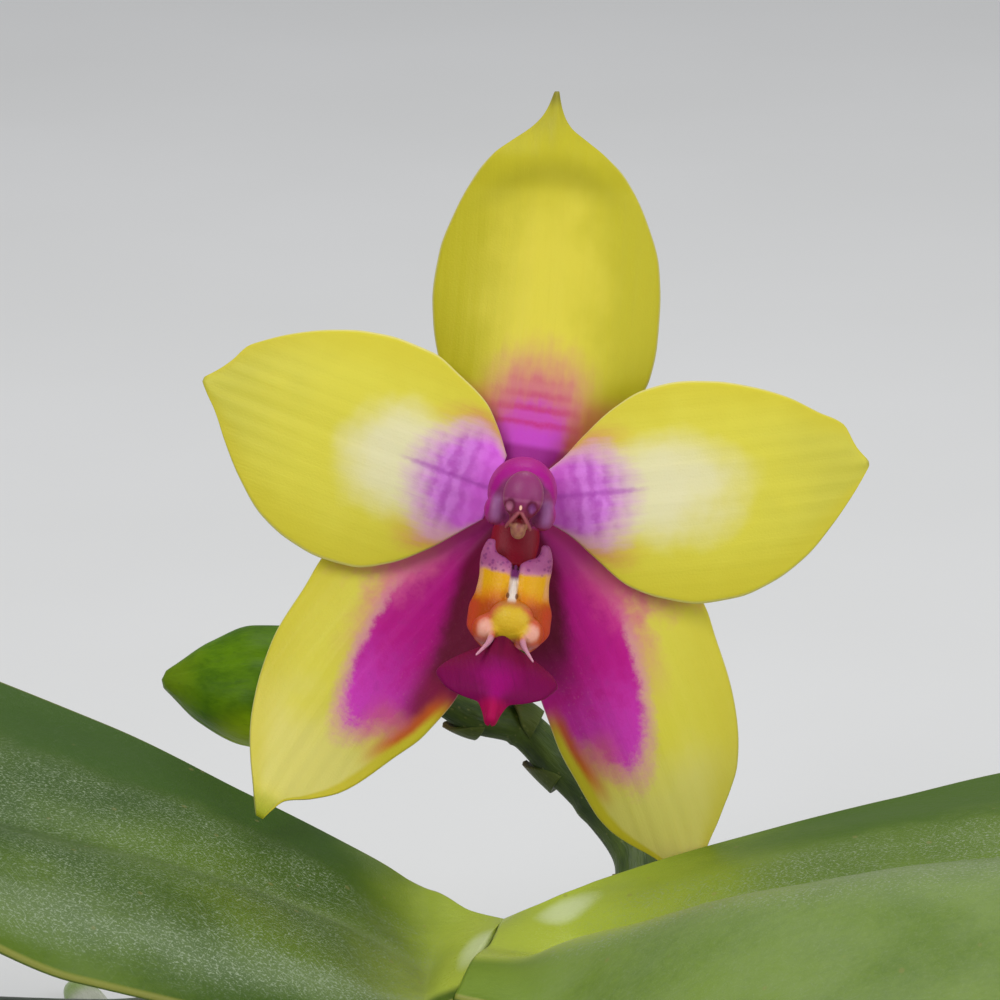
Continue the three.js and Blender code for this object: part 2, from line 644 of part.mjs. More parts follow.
for (const [name, shape] of Object.entries(UPPER_LEAVES)) {
  const made = blade(bladeSurface(shape), bladeThickness, 22, 10);
  add(group, name, made.add(sheathWall({ ...UPPER_SHEATH, heading: shape.heading })), LEAF_GREEN);
}

// A lower leaf is one surface from its sheath out: [out, up, half-width, curl], where the curl is the
// half-angle in radians that the section bends through.
function claspingSurface({ heading, stations, groove, wave }) {
  const turn = radians(heading);
  const outwards = vector(Math.cos(turn), Math.sin(turn), 0);
  const aside = vector(-outwards.y, outwards.x, 0);
  const line = pathThrough(stations.map(([out, up]) => [out * outwards.x, out * outwards.y, up]));
  const [width, curl] = [2, 3].map((k) => evenly(stations.map((station) => station[k])));
  return (t, s) => {
    const along = tangentOf(line, t);
    const up = vector(0, 0, 0).crossVectors(along, aside).normalize();
    const open = THREE.MathUtils.smoothstep(t, 0.25, 0.6);
    const arch = 8 * groove * s * s * (1 - Math.abs(s)) - 0.08 * s * s;
    const ruffle = wave * s * s * Math.sin(17 * t + (s > 0 ? 1.3 : 4));
    const bend = curl(t);
    return line(t)
      .addScaledVector(aside, (width(t) * Math.sin(bend * s)) / bend)
      .addScaledVector(up, (width(t) * (1 - Math.cos(bend * s))) / bend + open * (width(t) * arch + ruffle));
  };
}

const LOWER_LEAVES = {
  leaf_lower_left: {
    heading: 203,
    groove: 0.13,
    wave: 0.9,
    stations: [
      [9.9, 13.6, 9.5, 0.96], [9.9, 20, 11.2, 1.13], [10.2, 25.6, 11.7, 1.15], [12.4, 30, 12.6, 1],
      [17.4, 32.6, 15.6, 0.7], [27, 34.2, 20, 0.3], [41, 35.6, 25, 0.1], [57, 36, 28.5, 0.05],
      [74, 34.6, 30, 0.05], [91, 31, 29, 0.05], [107, 25.2, 24.5, 0.05], [121, 17.8, 15.5, 0.05],
      [132, 10.2, 1.2, 0.05],
    ],
  },
  leaf_lower_right: {
    heading: -20,
    groove: 0.14,
    wave: 0.8,
    stations: [
      [9.9, 13.6, 9.5, 0.96], [9.9, 19.6, 11.2, 1.13], [10.2, 24.6, 11.7, 1.15], [12.6, 28.4, 12.6, 1],
      [17.8, 30.6, 15.6, 0.7], [27, 31.6, 19.6, 0.3], [40, 32.4, 24, 0.1], [55, 32.4, 27, 0.05],
      [71, 30.6, 28.5, 0.05], [86, 27, 27.5, 0.05], [100, 21.4, 23.5, 0.05], [113, 14.6, 15, 0.05],
      [123, 8, 1.2, 0.05],
    ],
  },
};

for (const [name, shape] of Object.entries(LOWER_LEAVES)) {
  add(group, name, blade(claspingSurface(shape), bladeThickness, 22, 8), LEAF_GREEN);
}

// The short stem, with a flat cut foot and a rounded top hidden between the leaves.
function stem() {
  const profile = [
    [0, 0], [STEM_FOOT_RADIUS, 0], [STEM_RADIUS, 1.6], [STEM_RADIUS, 12], [STEM_RADIUS - 0.2, 30],
    [4.6, STEM_HEIGHT - 3], [2.2, STEM_HEIGHT - 0.6], [0, STEM_HEIGHT],
  ];
  const lathe = new THREE.LatheGeometry(profile.map(([r, z]) => new THREE.Vector2(r, z)), 24);
  lathe.rotateX(Math.PI / 2);
  return solid(lathe);
}

add(group, "stem", stem(), STEM_GREEN);

// Roots leave the stem in two rings, drop to the surface and wander outwards over it. Their path is that
// of the underside, which is a flat facet where it lies on the surface.
// Each root: heading in degrees, height on the stem, length of its run, and how far it swings to the side.
const ROOTS = [
  [-92, 4.4, 96, 9], [-38, 4.6, 88, -8], [16, 4.4, 92, 7], [66, 4.6, 84, -9], [118, 4.4, 98, 8],
  [160, 4.6, 86, -7], [214, 4.5, 90, 9], [-64, 9.6, 78, -6], [-8, 9.4, 70, 6], [92, 9.6, 74, 6],
  [190, 9.4, 76, -5],
];
function root(heading, height, run, swing) {
  const turn = radians(heading);
  const at = (out, aside, under) => [
    out * Math.cos(turn) - aside * Math.sin(turn),
    out * Math.sin(turn) + aside * Math.cos(turn),
    under,
  ];
  const radius = through([[0, 2.3], [0.1, ROOT_RADIUS], [0.85, 2.3], [0.95, 1.8], [1, 0.8]]);
  const start = STEM_RADIUS + SEAT_GAP + 0.1;
  const landing = start + 12 + 1.6 * height;
  const rest = run - landing + start;
  const under = height - ROOT_RADIUS;
  const path = pathThrough([
    at(start, 0, under),
    at(start + 5, 0, under - 0.1),
    at((start + landing) / 2 + 1, 0.04 * swing, 0.5 * under),
    at(landing, 0.1 * swing, 0),
    at(landing + 0.25 * rest, 0.55 * swing, 0),
    at(landing + 0.5 * rest, swing, 0),
    at(landing + 0.7 * rest, 0.5 * swing, 0),
    at(landing + 0.85 * rest, -0.2 * swing, 0),
    at(start + run, -0.5 * swing, 0),
  ]);
  const facet = Math.cos(Math.PI / ROOT_SIDES);
  return sweep({
    path: (t) => {
      const p = path(t);
      return vector(p.x, p.y, Math.max(p.z, 0) + radius(t) * facet);
    },
    flat: radius,
    sides: ROOT_SIDES,
    steps: 13,
    turn: Math.PI / ROOT_SIDES,
  });
}

ROOTS.forEach((shape, i) => {
  const number = String(i + 1).padStart(2, "0");
  add(group, `root_${number}`, root(...shape), ROOT_SILVER);
});

export default group;
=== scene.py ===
import math

import bpy
import numpy as np
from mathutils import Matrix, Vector


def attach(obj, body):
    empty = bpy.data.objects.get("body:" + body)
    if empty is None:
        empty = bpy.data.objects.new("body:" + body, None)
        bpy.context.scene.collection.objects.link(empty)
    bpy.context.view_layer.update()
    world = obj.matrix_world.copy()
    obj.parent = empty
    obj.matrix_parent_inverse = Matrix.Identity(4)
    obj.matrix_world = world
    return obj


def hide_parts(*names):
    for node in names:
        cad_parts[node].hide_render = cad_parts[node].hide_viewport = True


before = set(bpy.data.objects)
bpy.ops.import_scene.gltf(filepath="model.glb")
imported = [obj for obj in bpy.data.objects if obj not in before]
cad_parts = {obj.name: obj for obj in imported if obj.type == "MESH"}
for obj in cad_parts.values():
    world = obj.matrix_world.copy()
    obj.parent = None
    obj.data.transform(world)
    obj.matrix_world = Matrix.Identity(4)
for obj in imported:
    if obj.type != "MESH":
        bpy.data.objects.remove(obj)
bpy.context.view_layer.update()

# A moth orchid standing on its bare roots: the CAD model's forms, drawn finely and given their materials.
# Shapes are in millimetres and repeat the CAD model's formulas. Objects are in metres.

# Driving dimensions
MM = 0.001
BLOOM_CENTRE = np.array([1.8, 20, 79.6])
BLOOM_TILT = 18  # degrees that the face of the bloom looks up
BLOOM_ROLL = 7.2  # degrees that the bloom hangs over to its right
HUB_RADIUS = 2.6
TEPAL_START = 0.085
TEPAL_THICKNESS = 1.15
MARGIN_THICKNESS = 0.65
PETAL_LAYER = 1.75
PEDICEL_FOOT = [2.2, 42.7, 54]
PEDICEL_RADIUS = 1.55
STEM_RADIUS = 6.5
STEM_HEIGHT = 39
STEM_FOOT_RADIUS = 5.6
LEAF_THICKNESS = 1.9
LEAF_BASE_THICKNESS = 2.2
SHEATH_THICKNESS = 1.5
LEAF_MARGIN_THICKNESS = 0.8
ROOT_RADIUS = 2.6
SPIKE_RADIUS = 2.5
SEAT_GAP = 0.3
COLUMN_BASE = 2.3
COLUMN_LENGTH = 9.2
COLUMN_AXIS = 0.2
CAP_AXIS = 0.1  # how far the cap's hollows, beak and arms stand to the right of the bloom's middle
LIP_AXIS = 0.35  # how far the side lobes and callus stand to the right of the bloom's middle

# The photograph's view
CAMERA_ELEVATION = 18
CAMERA_DISTANCE = 520
CAMERA_LENS = 208
SENSOR_WIDTH = 36

# Colours, from 0 to 255 as the screen shows them
YELLOW = (216, 206, 68)
YELLOW_DEEP = (204, 190, 44)
YELLOW_GREEN = (200, 192, 68)
CREAM = (228, 222, 184)
ORANGE_PINK = (204, 116, 84)
VIOLET = (204, 92, 208)
VIOLET_PALE = (226, 146, 234)
VIOLET_DARK = (166, 58, 170)
MAGENTA = (188, 8, 134)
MAGENTA_BRIGHT = (208, 58, 184)
MAGENTA_DEEP = (140, 10, 112)
PINK = (214, 126, 140)
# The darkest red is painted shade, beside the lip on the lateral sepals.
DARK_RED_SHADE = (88, 0, 20)


# Curves and surfaces
def smoothstep(x, low, high):
    u = np.clip((np.asarray(x, float) - low) / (high - low), 0, 1)
    return u * u * (3 - 2 * u)


def unit(v):
    return v / np.maximum(np.linalg.norm(v, axis=-1, keepdims=True), 1e-12)


def cubic(u, ends, slopes, run=1):
    """From one end to the other over that run with those slopes, for u from 0 to 1."""
    a = u * u * (3 - 2 * u)
    bow = u * (1 - u) * (slopes[0] * (1 - u) - slopes[1] * u)
    return ends[0] * (1 - a) + ends[1] * a + run * bow


def through(keys):
    """A smooth curve through (t, value) keys that never overshoots them."""
    places, values = np.array(keys, float).T
    rise = np.diff(values) / np.diff(places)
    slope = np.concatenate([rise[:1], np.zeros(len(keys) - 2), rise[-1:]])
    product = rise[:-1] * rise[1:]
    total = np.where(product > 0, rise[:-1] + rise[1:], 1)
    slope[1:-1] = np.where(product > 0, 2 * product / total, 0)

    def curve(t):
        i = np.clip(np.searchsorted(places, t, side="right") - 1, 0, len(places) - 2)
        run = places[i + 1] - places[i]
        u = np.clip((t - places[i]) / run, 0, 1)
        return cubic(u, (values[i], values[i + 1]), (slope[i], slope[i + 1]), run)

    return curve


def evenly(values):
    return through([(i / (len(values) - 1), v) for i, v in enumerate(values)])


def path_through(points):
    """The smooth path through points, as a function of a share that is even from point to point."""
    points = np.array(points, float)
    slopes = np.gradient(points, axis=0)

    def path(t):
        place = np.clip(np.asarray(t, float), 0, 1) * (len(points) - 1)
        i = np.minimum(place.astype(int), len(points) - 2)
        return cubic((place - i)[..., None], (points[i], points[i + 1]), (slopes[i], slopes[i + 1]))

    return path


def tangent(path, t, step=1e-3):
    return unit(path(np.minimum(1, t + step)) - path(np.maximum(0, t - step)))


def rounded(x, rim):
    """1 up to a margin at x = 1, where it falls to 0 as a quarter circle does over the last rim."""
    return np.sqrt(np.clip(1 - (np.maximum(0, x - 1 + rim) / rim) ** 2, 0, 1))


class Shell:
    """A closed net of rings of points, with what its material reads at each point."""

    def __init__(self, rings, place, flow):
        self.rings = rings
        self.place = place
        self.flow = flow

    def moved(self, change):
        return Shell(change(self.rings), self.place, self.flow)

    def faces(self):
        rows, count = self.rings.shape[:2]
        near, after = np.arange(count), (np.arange(count) + 1) % count
        first = np.arange(rows - 1)[:, None] * count
        quads = np.stack([first + near, first + after, first + after + count, first + near + count], -1)
        quads = quads.reshape(-1, 4).tolist()
        ends = [list(range(count))[::-1], [(rows - 1) * count + k for k in range(count)]]
        return quads + ends

    def volume(self):
        """A measure of the volume, below 0 where the faces point inwards."""
        a, b = self.rings[:-1], self.rings[1:]
        c, d = np.roll(a, -1, axis=1), np.roll(b, -1, axis=1)
        middle = self.rings.mean((0, 1))
        first = np.einsum("ijk,ijk->", a - middle, np.cross(c - middle, d - middle))
        return first + np.einsum("ijk,ijk->", a - middle, np.cross(d - middle, b - middle))

    def outline(self):
        """Each face corner's place on a flat sheet: along the shell and round it, in shares."""
        rows, count = self.rings.shape[:2]
        closed = np.concatenate([self.rings, self.rings[:, :1]], axis=1)
        around = np.linalg.norm(np.diff(closed, axis=1), axis=-1).mean(0)
        along = np.linalg.norm(np.diff(self.rings, axis=0), axis=-1).mean(1)
        v = np.concatenate([[0], np.cumsum(around)]) / around.sum()
        u = np.concatenate([[0], np.cumsum(along)]) / along.sum()
        row = np.repeat(np.arange(rows - 1), count)
        column = np.tile(np.arange(count), rows - 1)
        corners = [(row, column), (row, column + 1), (row + 1, column + 1), (row + 1, column)]
        quads = np.stack([np.stack([u[i], v[j]], -1) for i, j in corners], axis=1).reshape(-1, 2)
        cap = np.stack([np.zeros(count), v[:count]], -1)
        return np.concatenate([quads, cap[::-1], cap + [1, 0]])

    def facing_out(self):
        """The faces, all pointing outwards, and their corners' places on the sheet."""
        faces, sheet = self.faces(), self.outline()
        if self.volume() >= 0:
            return faces, sheet
        splits = np.cumsum([len(face) for face in faces])[:-1]
        turned = [part[::-1] for part in np.split(sheet, splits)]
        return [face[::-1] for face in faces], np.concatenate(turned)


def blade(place, thickness, rows, columns, start=0.0, rim=0.05, tip=0.015, relief=None):
    """A thin shell round the mid-surface place(t, s), with t along it and s from -1 to 1 across.
    relief(t, s, across, side) pushes the upper (side 1) or under (side -1) face out, in millimetres."""
    t = start + (1 - start) * np.linspace(0, 1, rows + 1)
    s = -np.cos(np.linspace(0, np.pi, columns + 1))
    t, s = np.meshgrid(t, s, indexing="ij")
    middle = place(t, s)
    normal = unit(np.cross(np.gradient(middle, axis=0), np.gradient(middle, axis=1)))
    step = np.linalg.norm(np.diff(middle, axis=1), axis=-1)
    across = np.concatenate([np.zeros((rows + 1, 1)), np.cumsum(step, axis=1)], axis=1)
    across -= across[:, [columns // 2]]
    spine = middle[:, columns // 2]
    along = np.concatenate([[0], np.cumsum(np.linalg.norm(np.diff(spine, axis=0), axis=-1))])
    along = along[:, None] + 0 * t
    edge = rounded(np.abs(s), rim) * np.maximum(0.05, rounded(t, tip))
    half = 0.5 * thickness(t, s) * edge
    faces = []
    for side in (1, -1):
        lift = half + (relief(t, s, across, side) * edge if relief else 0)
        faces.append(middle + side * normal * lift[..., None])

    def ring(top, under):
        return np.concatenate([top, under[:, -2:0:-1]], axis=1)

    at_margin = np.isclose(np.abs(s), 1)
    upper = np.stack([t, s, np.where(at_margin, 0, 1)], -1)
    lower = np.stack([t, s, np.full_like(t, -1)], -1)
    flow = np.stack([along, across, 0 * t], -1)
    return Shell(ring(*faces), ring(upper, lower), ring(flow, flow + [0, 0, 2]))


def sweep(path, flat, tall=None, *, sides, steps, upright=(0, 0, 1), carried=False, ripple=None,
          round_ends=0.0):
    """A shell whose elliptical section follows path(t). flat(t) and tall(t) are its half-sizes, and
    ripple(angle, t) scales it. Its tall side points to upright, or turns with the path if carried."""
    tall = tall or flat
    t = np.linspace(0, 1, steps + 1)
    along = tangent(path, t)
    sideways = np.empty_like(along)
    up = np.array(upright, float)
    for i, direction in enumerate(along):
        sideways[i] = unit(np.cross(direction, up))
        if carried:
            up = np.cross(sideways[i], direction)
    up = np.cross(sideways, along)
    t, angle = np.meshgrid(t, 2 * np.pi * np.arange(sides) / sides, indexing="ij")
    size = ripple(angle, t) if ripple else np.ones_like(t)
    if round_ends:
        size = size * np.maximum(0.04, rounded(t, round_ends) * rounded(1 - t, round_ends))
    x, y = np.cos(angle) * flat(t) * size, np.sin(angle) * tall(t) * size
    centre = path(t[:, 0])
    rings = centre[:, None] + x[..., None] * sideways[:, None] + y[..., None] * up[:, None]
    length = np.concatenate([[0], np.cumsum(np.linalg.norm(np.diff(centre, axis=0), axis=-1))])
    flow = np.stack([length[:, None] + 0 * t, x, y], -1)
    return Shell(rings, np.stack([t, angle / (2 * np.pi), 0 * t + 1], -1), flow)


def ellipsoid(centre, radii):
    """An ellipsoid as rings round its z axis, with a very small flat at either end."""
    rings, sides, flat = 25, 32, 0.02
    slice_at = np.linspace(flat, np.pi - flat, rings)
    angle = 2 * np.pi * np.arange(sides) / sides
    slice_at, angle = np.meshgrid(slice_at, angle, indexing="ij")
    ball = np.stack([
        np.sin(slice_at) * np.cos(angle), np.sin(slice_at) * np.sin(angle), -np.cos(slice_at),
    ], -1)
    return Shell(np.array(centre) + np.array(radii) * ball, ball, ball)


def turn_about(axis, degrees):
    c, s = math.cos(math.radians(degrees)), math.sin(math.radians(degrees))
    if axis == "x":
        return np.array([[1, 0, 0], [0, c, -s], [0, s, c]])
    return np.array([[c, -s, 0], [s, c, 0], [0, 0, 1]])


BLOOM_TURN = turn_about("x", 90 - BLOOM_TILT) @ turn_about("z", -BLOOM_ROLL)


def in_bloom(points):
    """Points of the bloom's own frame (x right, y up its face, z out of it) in the plant's frame."""
    return np.asarray(points, float) @ BLOOM_TURN.T + BLOOM_CENTRE


# Pieces
def mesh_of(name, vertices, faces, attributes, uv=None):
    mesh = bpy.data.meshes.new(name)
    mesh.from_pydata((np.asarray(vertices) * MM).tolist(), [], faces)
    for label, values in attributes.items():
        made = mesh.attributes.new(label, "FLOAT_VECTOR", "POINT")
        made.data.foreach_set("vector", np.ascontiguousarray(values, np.float32).ravel())
    if uv is not None:
        mesh.uv_layers.new(name="OFBake").data.foreach_set("uv", uv.astype(np.float32).ravel())
    mesh.shade_smooth()
    mesh.update()
    return mesh


def joined(shells):
    """The points and faces of all the shells, and each shell's flat sheet."""
    vertices, faces, sheets, base = [], [], [], 0
    for shell in shells:
        own, sheet = shell.facing_out()
        faces += [[k + base for k in face] for face in own]
        vertices.append(shell.rings.reshape(-1, 3))
        sheets.append(sheet)
        base += len(vertices[-1])
    return np.concatenate(vertices), faces, sheets


def add_piece(node, mesh, look):
    """The finished piece that replaces that node of the CAD model."""
    mesh.materials.append(look.material)
    piece = bpy.data.objects.new(node + "_skin", mesh)
    bpy.context.scene.collection.objects.link(piece)
    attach(piece, "root")
    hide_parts(node)


def add_shells(node, shells, look):
    """One piece made of several closed shells, laid out side by side on its flat sheet."""
    vertices, faces, sheets = joined(shells)
    share = 1 / len(shells)
    free_u, free_v = 0.01, 0.03  # left free round each shell's strip of the sheet
    size = [1 - 2 * free_u, (1 - 2 * free_v) * share]
    sheet = [own * size + [free_u, (i + free_v) * share] for i, own in enumerate(sheets)]
    fields = {
        "place": np.concatenate([shell.place.reshape(-1, 3) for shell in shells]),
        "flow": np.concatenate([shell.flow.reshape(-1, 3) for shell in shells]),
    }
    add_piece(node, mesh_of(node + "_skin", vertices, faces, fields, np.concatenate(sheet)), look)


def fused(shells, voxel, smoothing):
    """Overlapping shells melted into one skin: its points and faces, in the shells' own millimetres."""
    vertices, faces, _ = joined(shells)
    mesh = bpy.data.meshes.new("melted")
    mesh.from_pydata(vertices.tolist(), [], faces)
    piece = bpy.data.objects.new("melted", mesh)
    bpy.context.scene.collection.objects.link(piece)
    remesh = piece.modifiers.new("melt", "REMESH")
    remesh.mode = "VOXEL"
    remesh.voxel_size = voxel
    relax = piece.modifiers.new("relax", "SMOOTH")
    relax.factor = 0.5
    relax.iterations = smoothing
    made = piece.evaluated_get(bpy.context.evaluated_depsgraph_get()).to_mesh()
    points = np.empty(len(made.vertices) * 3)
    made.vertices.foreach_get("co", points)
    skin = [list(polygon.vertices) for polygon in made.polygons]
    bpy.data.objects.remove(piece)
    bpy.data.meshes.remove(mesh)
    return points.reshape(-1, 3), skin


def add_fused(node, points, faces, look):
    """A piece of the bloom whose material reads each point's place in the bloom's own frame."""
    add_piece(node, mesh_of(node + "_skin", in_bloom(points), faces, {"local": points}), look)


# Materials
def srgb(red, green, blue):
    """A colour given in 0 to 255 as the screen shows it, in Blender's linear values."""
    return tuple(((c / 255 + 0.055) / 1.055) ** 2.4 for c in (red, green, blue)) + (1.0,)


class Field:
    """A number, vector or colour that runs through a material's nodes."""

    def __init__(self, look, socket):
        self.look = look
        self.socket = socket

    def __add__(self, other):
        return self.look.math("ADD", self, other)

    def __sub__(self, other):
        return self.look.math("SUBTRACT", self, other)

    def __mul__(self, other):
        return self.look.math("MULTIPLY", self, other)

    def __truediv__(self, other):
        return self.look.math("DIVIDE", self, other)

    def __rsub__(self, other):
        return self.look.math("SUBTRACT", other, self)

    def __abs__(self):
        return self.look.math("ABSOLUTE", self)

    def __pow__(self, power):
        return self.look.math("POWER", self, power)

    __radd__ = __add__
    __rmul__ = __mul__

    def sine(self):
        return self.look.math("SINE", self)

    def largest(self, other):
        return self.look.math("MAXIMUM", self, other)

    def smooth(self, low, high):
        """0 up to low and 1 from high, with a soft step between; low may be the larger."""
        node = self.look.node("MapRange", interpolation_type="SMOOTHSTEP")
        self.look.feed(node, {"Value": self, "From Min": low, "From Max": high})
        return Field(self.look, node.outputs[0])


class Look:
    """A material built from short calls. Each lay() puts one more colour over those before it."""

    def __init__(self, name, **settings):
        self.material = bpy.data.materials.new(name)
        self.material.use_nodes = True
        self.tree = self.material.node_tree
        self.shader = next(n for n in self.tree.nodes if n.type == "BSDF_PRINCIPLED")
        for socket, value in settings.items():
            self.shader.inputs[socket.replace("_", " ")].default_value = value

    def node(self, kind, **settings):
        node = self.tree.nodes.new("ShaderNode" + kind)
        for setting, value in settings.items():
            setattr(node, setting, value)
        return node

    def feed(self, node, inputs):
        for name, value in inputs.items():
            if isinstance(value, Field):
                self.tree.links.new(value.socket, node.inputs[name])
            else:
                node.inputs[name].default_value = value

    def math(self, operation, a, b=None):
        node = self.node("Math", operation=operation)
        self.feed(node, {0: a} if b is None else {0: a, 1: b})
        return Field(self, node.outputs[0])

    def split(self, vector):
        node = self.node("SeparateXYZ")
        self.tree.links.new(vector, node.inputs[0])
        return [Field(self, output) for output in node.outputs]

    def attribute(self, name):
        return self.split(self.node("Attribute", attribute_name=name).outputs["Vector"])

    def shell_fields(self):
        """What a shell's points carry. A blade's are t, s, side, then the millimetres along and across
        it and its layer. A sweep's are t, the share of the turn, 1, then along and its x and y."""
        return [*self.attribute("place"), *self.attribute("flow")]

    def facing_up(self):
        """How much the surface faces up, from -1 to 1."""
        return self.split(self.node("NewGeometry").outputs["Normal"])[2]

    def vector(self, x, y, z):
        node = self.node("CombineXYZ")
        self.feed(node, {0: x, 1: y, 2: z})
        return Field(self, node.outputs[0])

    def noise(self, x, y, z, detail=2.0, roughness=0.5):
        """Soft noise around 0, from about -0.5 to 0.5, with features of about 1 in x, y and z."""
        node = self.node("TexNoise")
        settings = {"Scale": 1.0, "Detail": detail, "Roughness": roughness}
        self.feed(node, {"Vector": self.vector(x, y, z), **settings})
        return Field(self, node.outputs[0]) - 0.5

    def cells(self, x, y, z):
        """The distance to the nearest of scattered points that lie about 1 apart."""
        node = self.node("TexVoronoi")
        self.feed(node, {"Vector": self.vector(x, y, z), "Scale": 1.0})
        return Field(self, node.outputs[0])

    def mix(self, factor, a, b):
        """From a to b by the factor. Both are fields or colours from 0 to 255."""
        node = self.node("Mix", data_type="RGBA")
        a, b = (srgb(*c) if isinstance(c, tuple) else c for c in (a, b))
        self.feed(node, {"Factor": factor, 6: a, 7: b})
        return Field(self, node.outputs[2])

    def ground(self, factor, a, b):
        """The lowest layer of colour."""
        self.color = self.mix(factor, a, b)

    def lay(self, factor, color):
        self.color = self.mix(factor, self.color, color)

    def bump(self, height, millimetres):
        """Raises the surface by up to that many millimetres where the height is 1."""
        node = self.node("Bump")
        self.feed(node, {"Height": height, "Distance": millimetres * MM, "Strength": 1.0})
        if self.shader.inputs["Normal"].links:
            self.tree.links.new(self.shader.inputs["Normal"].links[0].from_socket, node.inputs["Normal"])
        self.tree.links.new(node.outputs[0], self.shader.inputs["Normal"])

    def paint(self, roughness):
        self.feed(self.shader, {"Base Color": self.color, "Roughness": roughness})
        return self


def spot(x, y, middle, radii):
    """0 at the middle of an oval spot, 1 on its rim and more beyond it."""
    return ((x - middle[0]) / radii[0]) ** 2 + ((y - middle[1]) / radii[1]) ** 2


WAXY = {
    "Subsurface_Weight": 0.12,
    "Subsurface_Scale": 0.0012,
    "Subsurface_Radius": (1.0, 0.7, 0.35),
    "Specular_IOR_Level": 0.22,
}


def tepal_skin(look, along, across, side):
    """The fine parallel veins and grain of sepals and petals, as (veins, grain)."""
    veins = look.noise(along * 0.09, across * 3.0, side * 3, detail=3)
    grain = look.noise(along * 5, across * 5, side * 5, detail=2)
    look.bump(veins, 0.025)
    look.bump(grain, 0.02)
    return veins, grain


def finish_tepal(look, side, margin, blush, veins, grain):
    """Lays a pale margin over the face, and the back's colours, pink where the blush is, behind it."""
    look.lay(margin * 0.4, CREAM)
    look.lay(side.smooth(0.3, -0.3) * 0.9, look.mix(blush, YELLOW_GREEN, PINK))
    return look.paint(veins * 0.25 + grain * 0.1 + 0.5)


# Each petal's pale patch (its place along the petal and its half-length), how much shorter the
# violet gets towards the upper margin, and the colour at the petal's root
PETAL_MARKS = {
    # The left petal's root colour is lightened as painted light, against the shade that the column casts
    # there.
    "left": dict(patch=(0.37, 0.2), trim=0.08, root=(232, 92, 236)),
    "right": dict(patch=(0.42, 0.25), trim=0.0, root=(196, 60, 190)),
}


def petal_look(hand, patch, trim, root):
    look = Look(f"petal_{hand}_waxy", **WAXY)
    t, s, side, along, across, layer = look.shell_fields()
    veins, grain = tepal_skin(look, along, across, layer)
    cloud = look.noise(along * 0.22, across * 0.22, layer * 7, detail=3)
    soft = look.noise(along * 0.8, across * 0.8, layer * 5, detail=3)
    look.ground((t + cloud * 0.3).smooth(0.6, 1.0), YELLOW, YELLOW_GREEN)
    look.lay((abs(s) + cloud * 0.4).smooth(0.45, 1.0) * 0.7, YELLOW_DEEP)
    look.lay(veins.smooth(0.05, 0.3) * 0.07, YELLOW_DEEP)
    pale = spot(t, s, (patch[0], 0), (patch[1], 0.52)) + cloud * 1.2 + soft * 0.3
    look.lay(pale.smooth(1.5, -0.1) * 0.85, CREAM)
    fray = soft * 0.05 + look.noise(along * 0.2, across * 2.4, layer) * 0.05
    reach = 0.33 - 0.2 * (s * s) - (-0.25 - s).largest(0.0) * trim + fray
    margin = abs(s).smooth(0.4, 0.85)
    look.lay((t - reach).smooth(0.13, 0.0) * margin * 0.8, ORANGE_PINK)
    look.lay((t - reach).smooth(0.06, -0.01) * 0.6, (216, 174, 204))
    violet = (t - reach).smooth(0.02, -0.09)
    blotch = look.noise(along * 1.1, across * 0.9, layer + 3, detail=3) * 4
    bars = (along * 4.2 + soft * 9 + across * 0.3).sine() * 0.8 + blotch
    inside = look.mix((bars + cloud * 2).smooth(-1.6, 1.6), VIOLET_DARK, VIOLET_PALE)
    inside = look.mix(0.5, inside, VIOLET)
    # The root colour near the centre; on the left petal it is painted light.
    inside = look.mix(t.smooth(0.21, 0.12) * 0.6, inside, root)
    look.lay(violet * 0.95, inside)
    vein = (abs(across) + abs(soft) * 0.9).smooth(0.45, 0.05)
    look.lay(vein * t.smooth(0.4, 0.3) * 0.5, VIOLET_DARK)
    blush = (t + cloud * 0.2).smooth(0.32, 0.1) * 0.5
    return finish_tepal(look, side, abs(s).smooth(0.965, 0.995), blush, veins, grain)


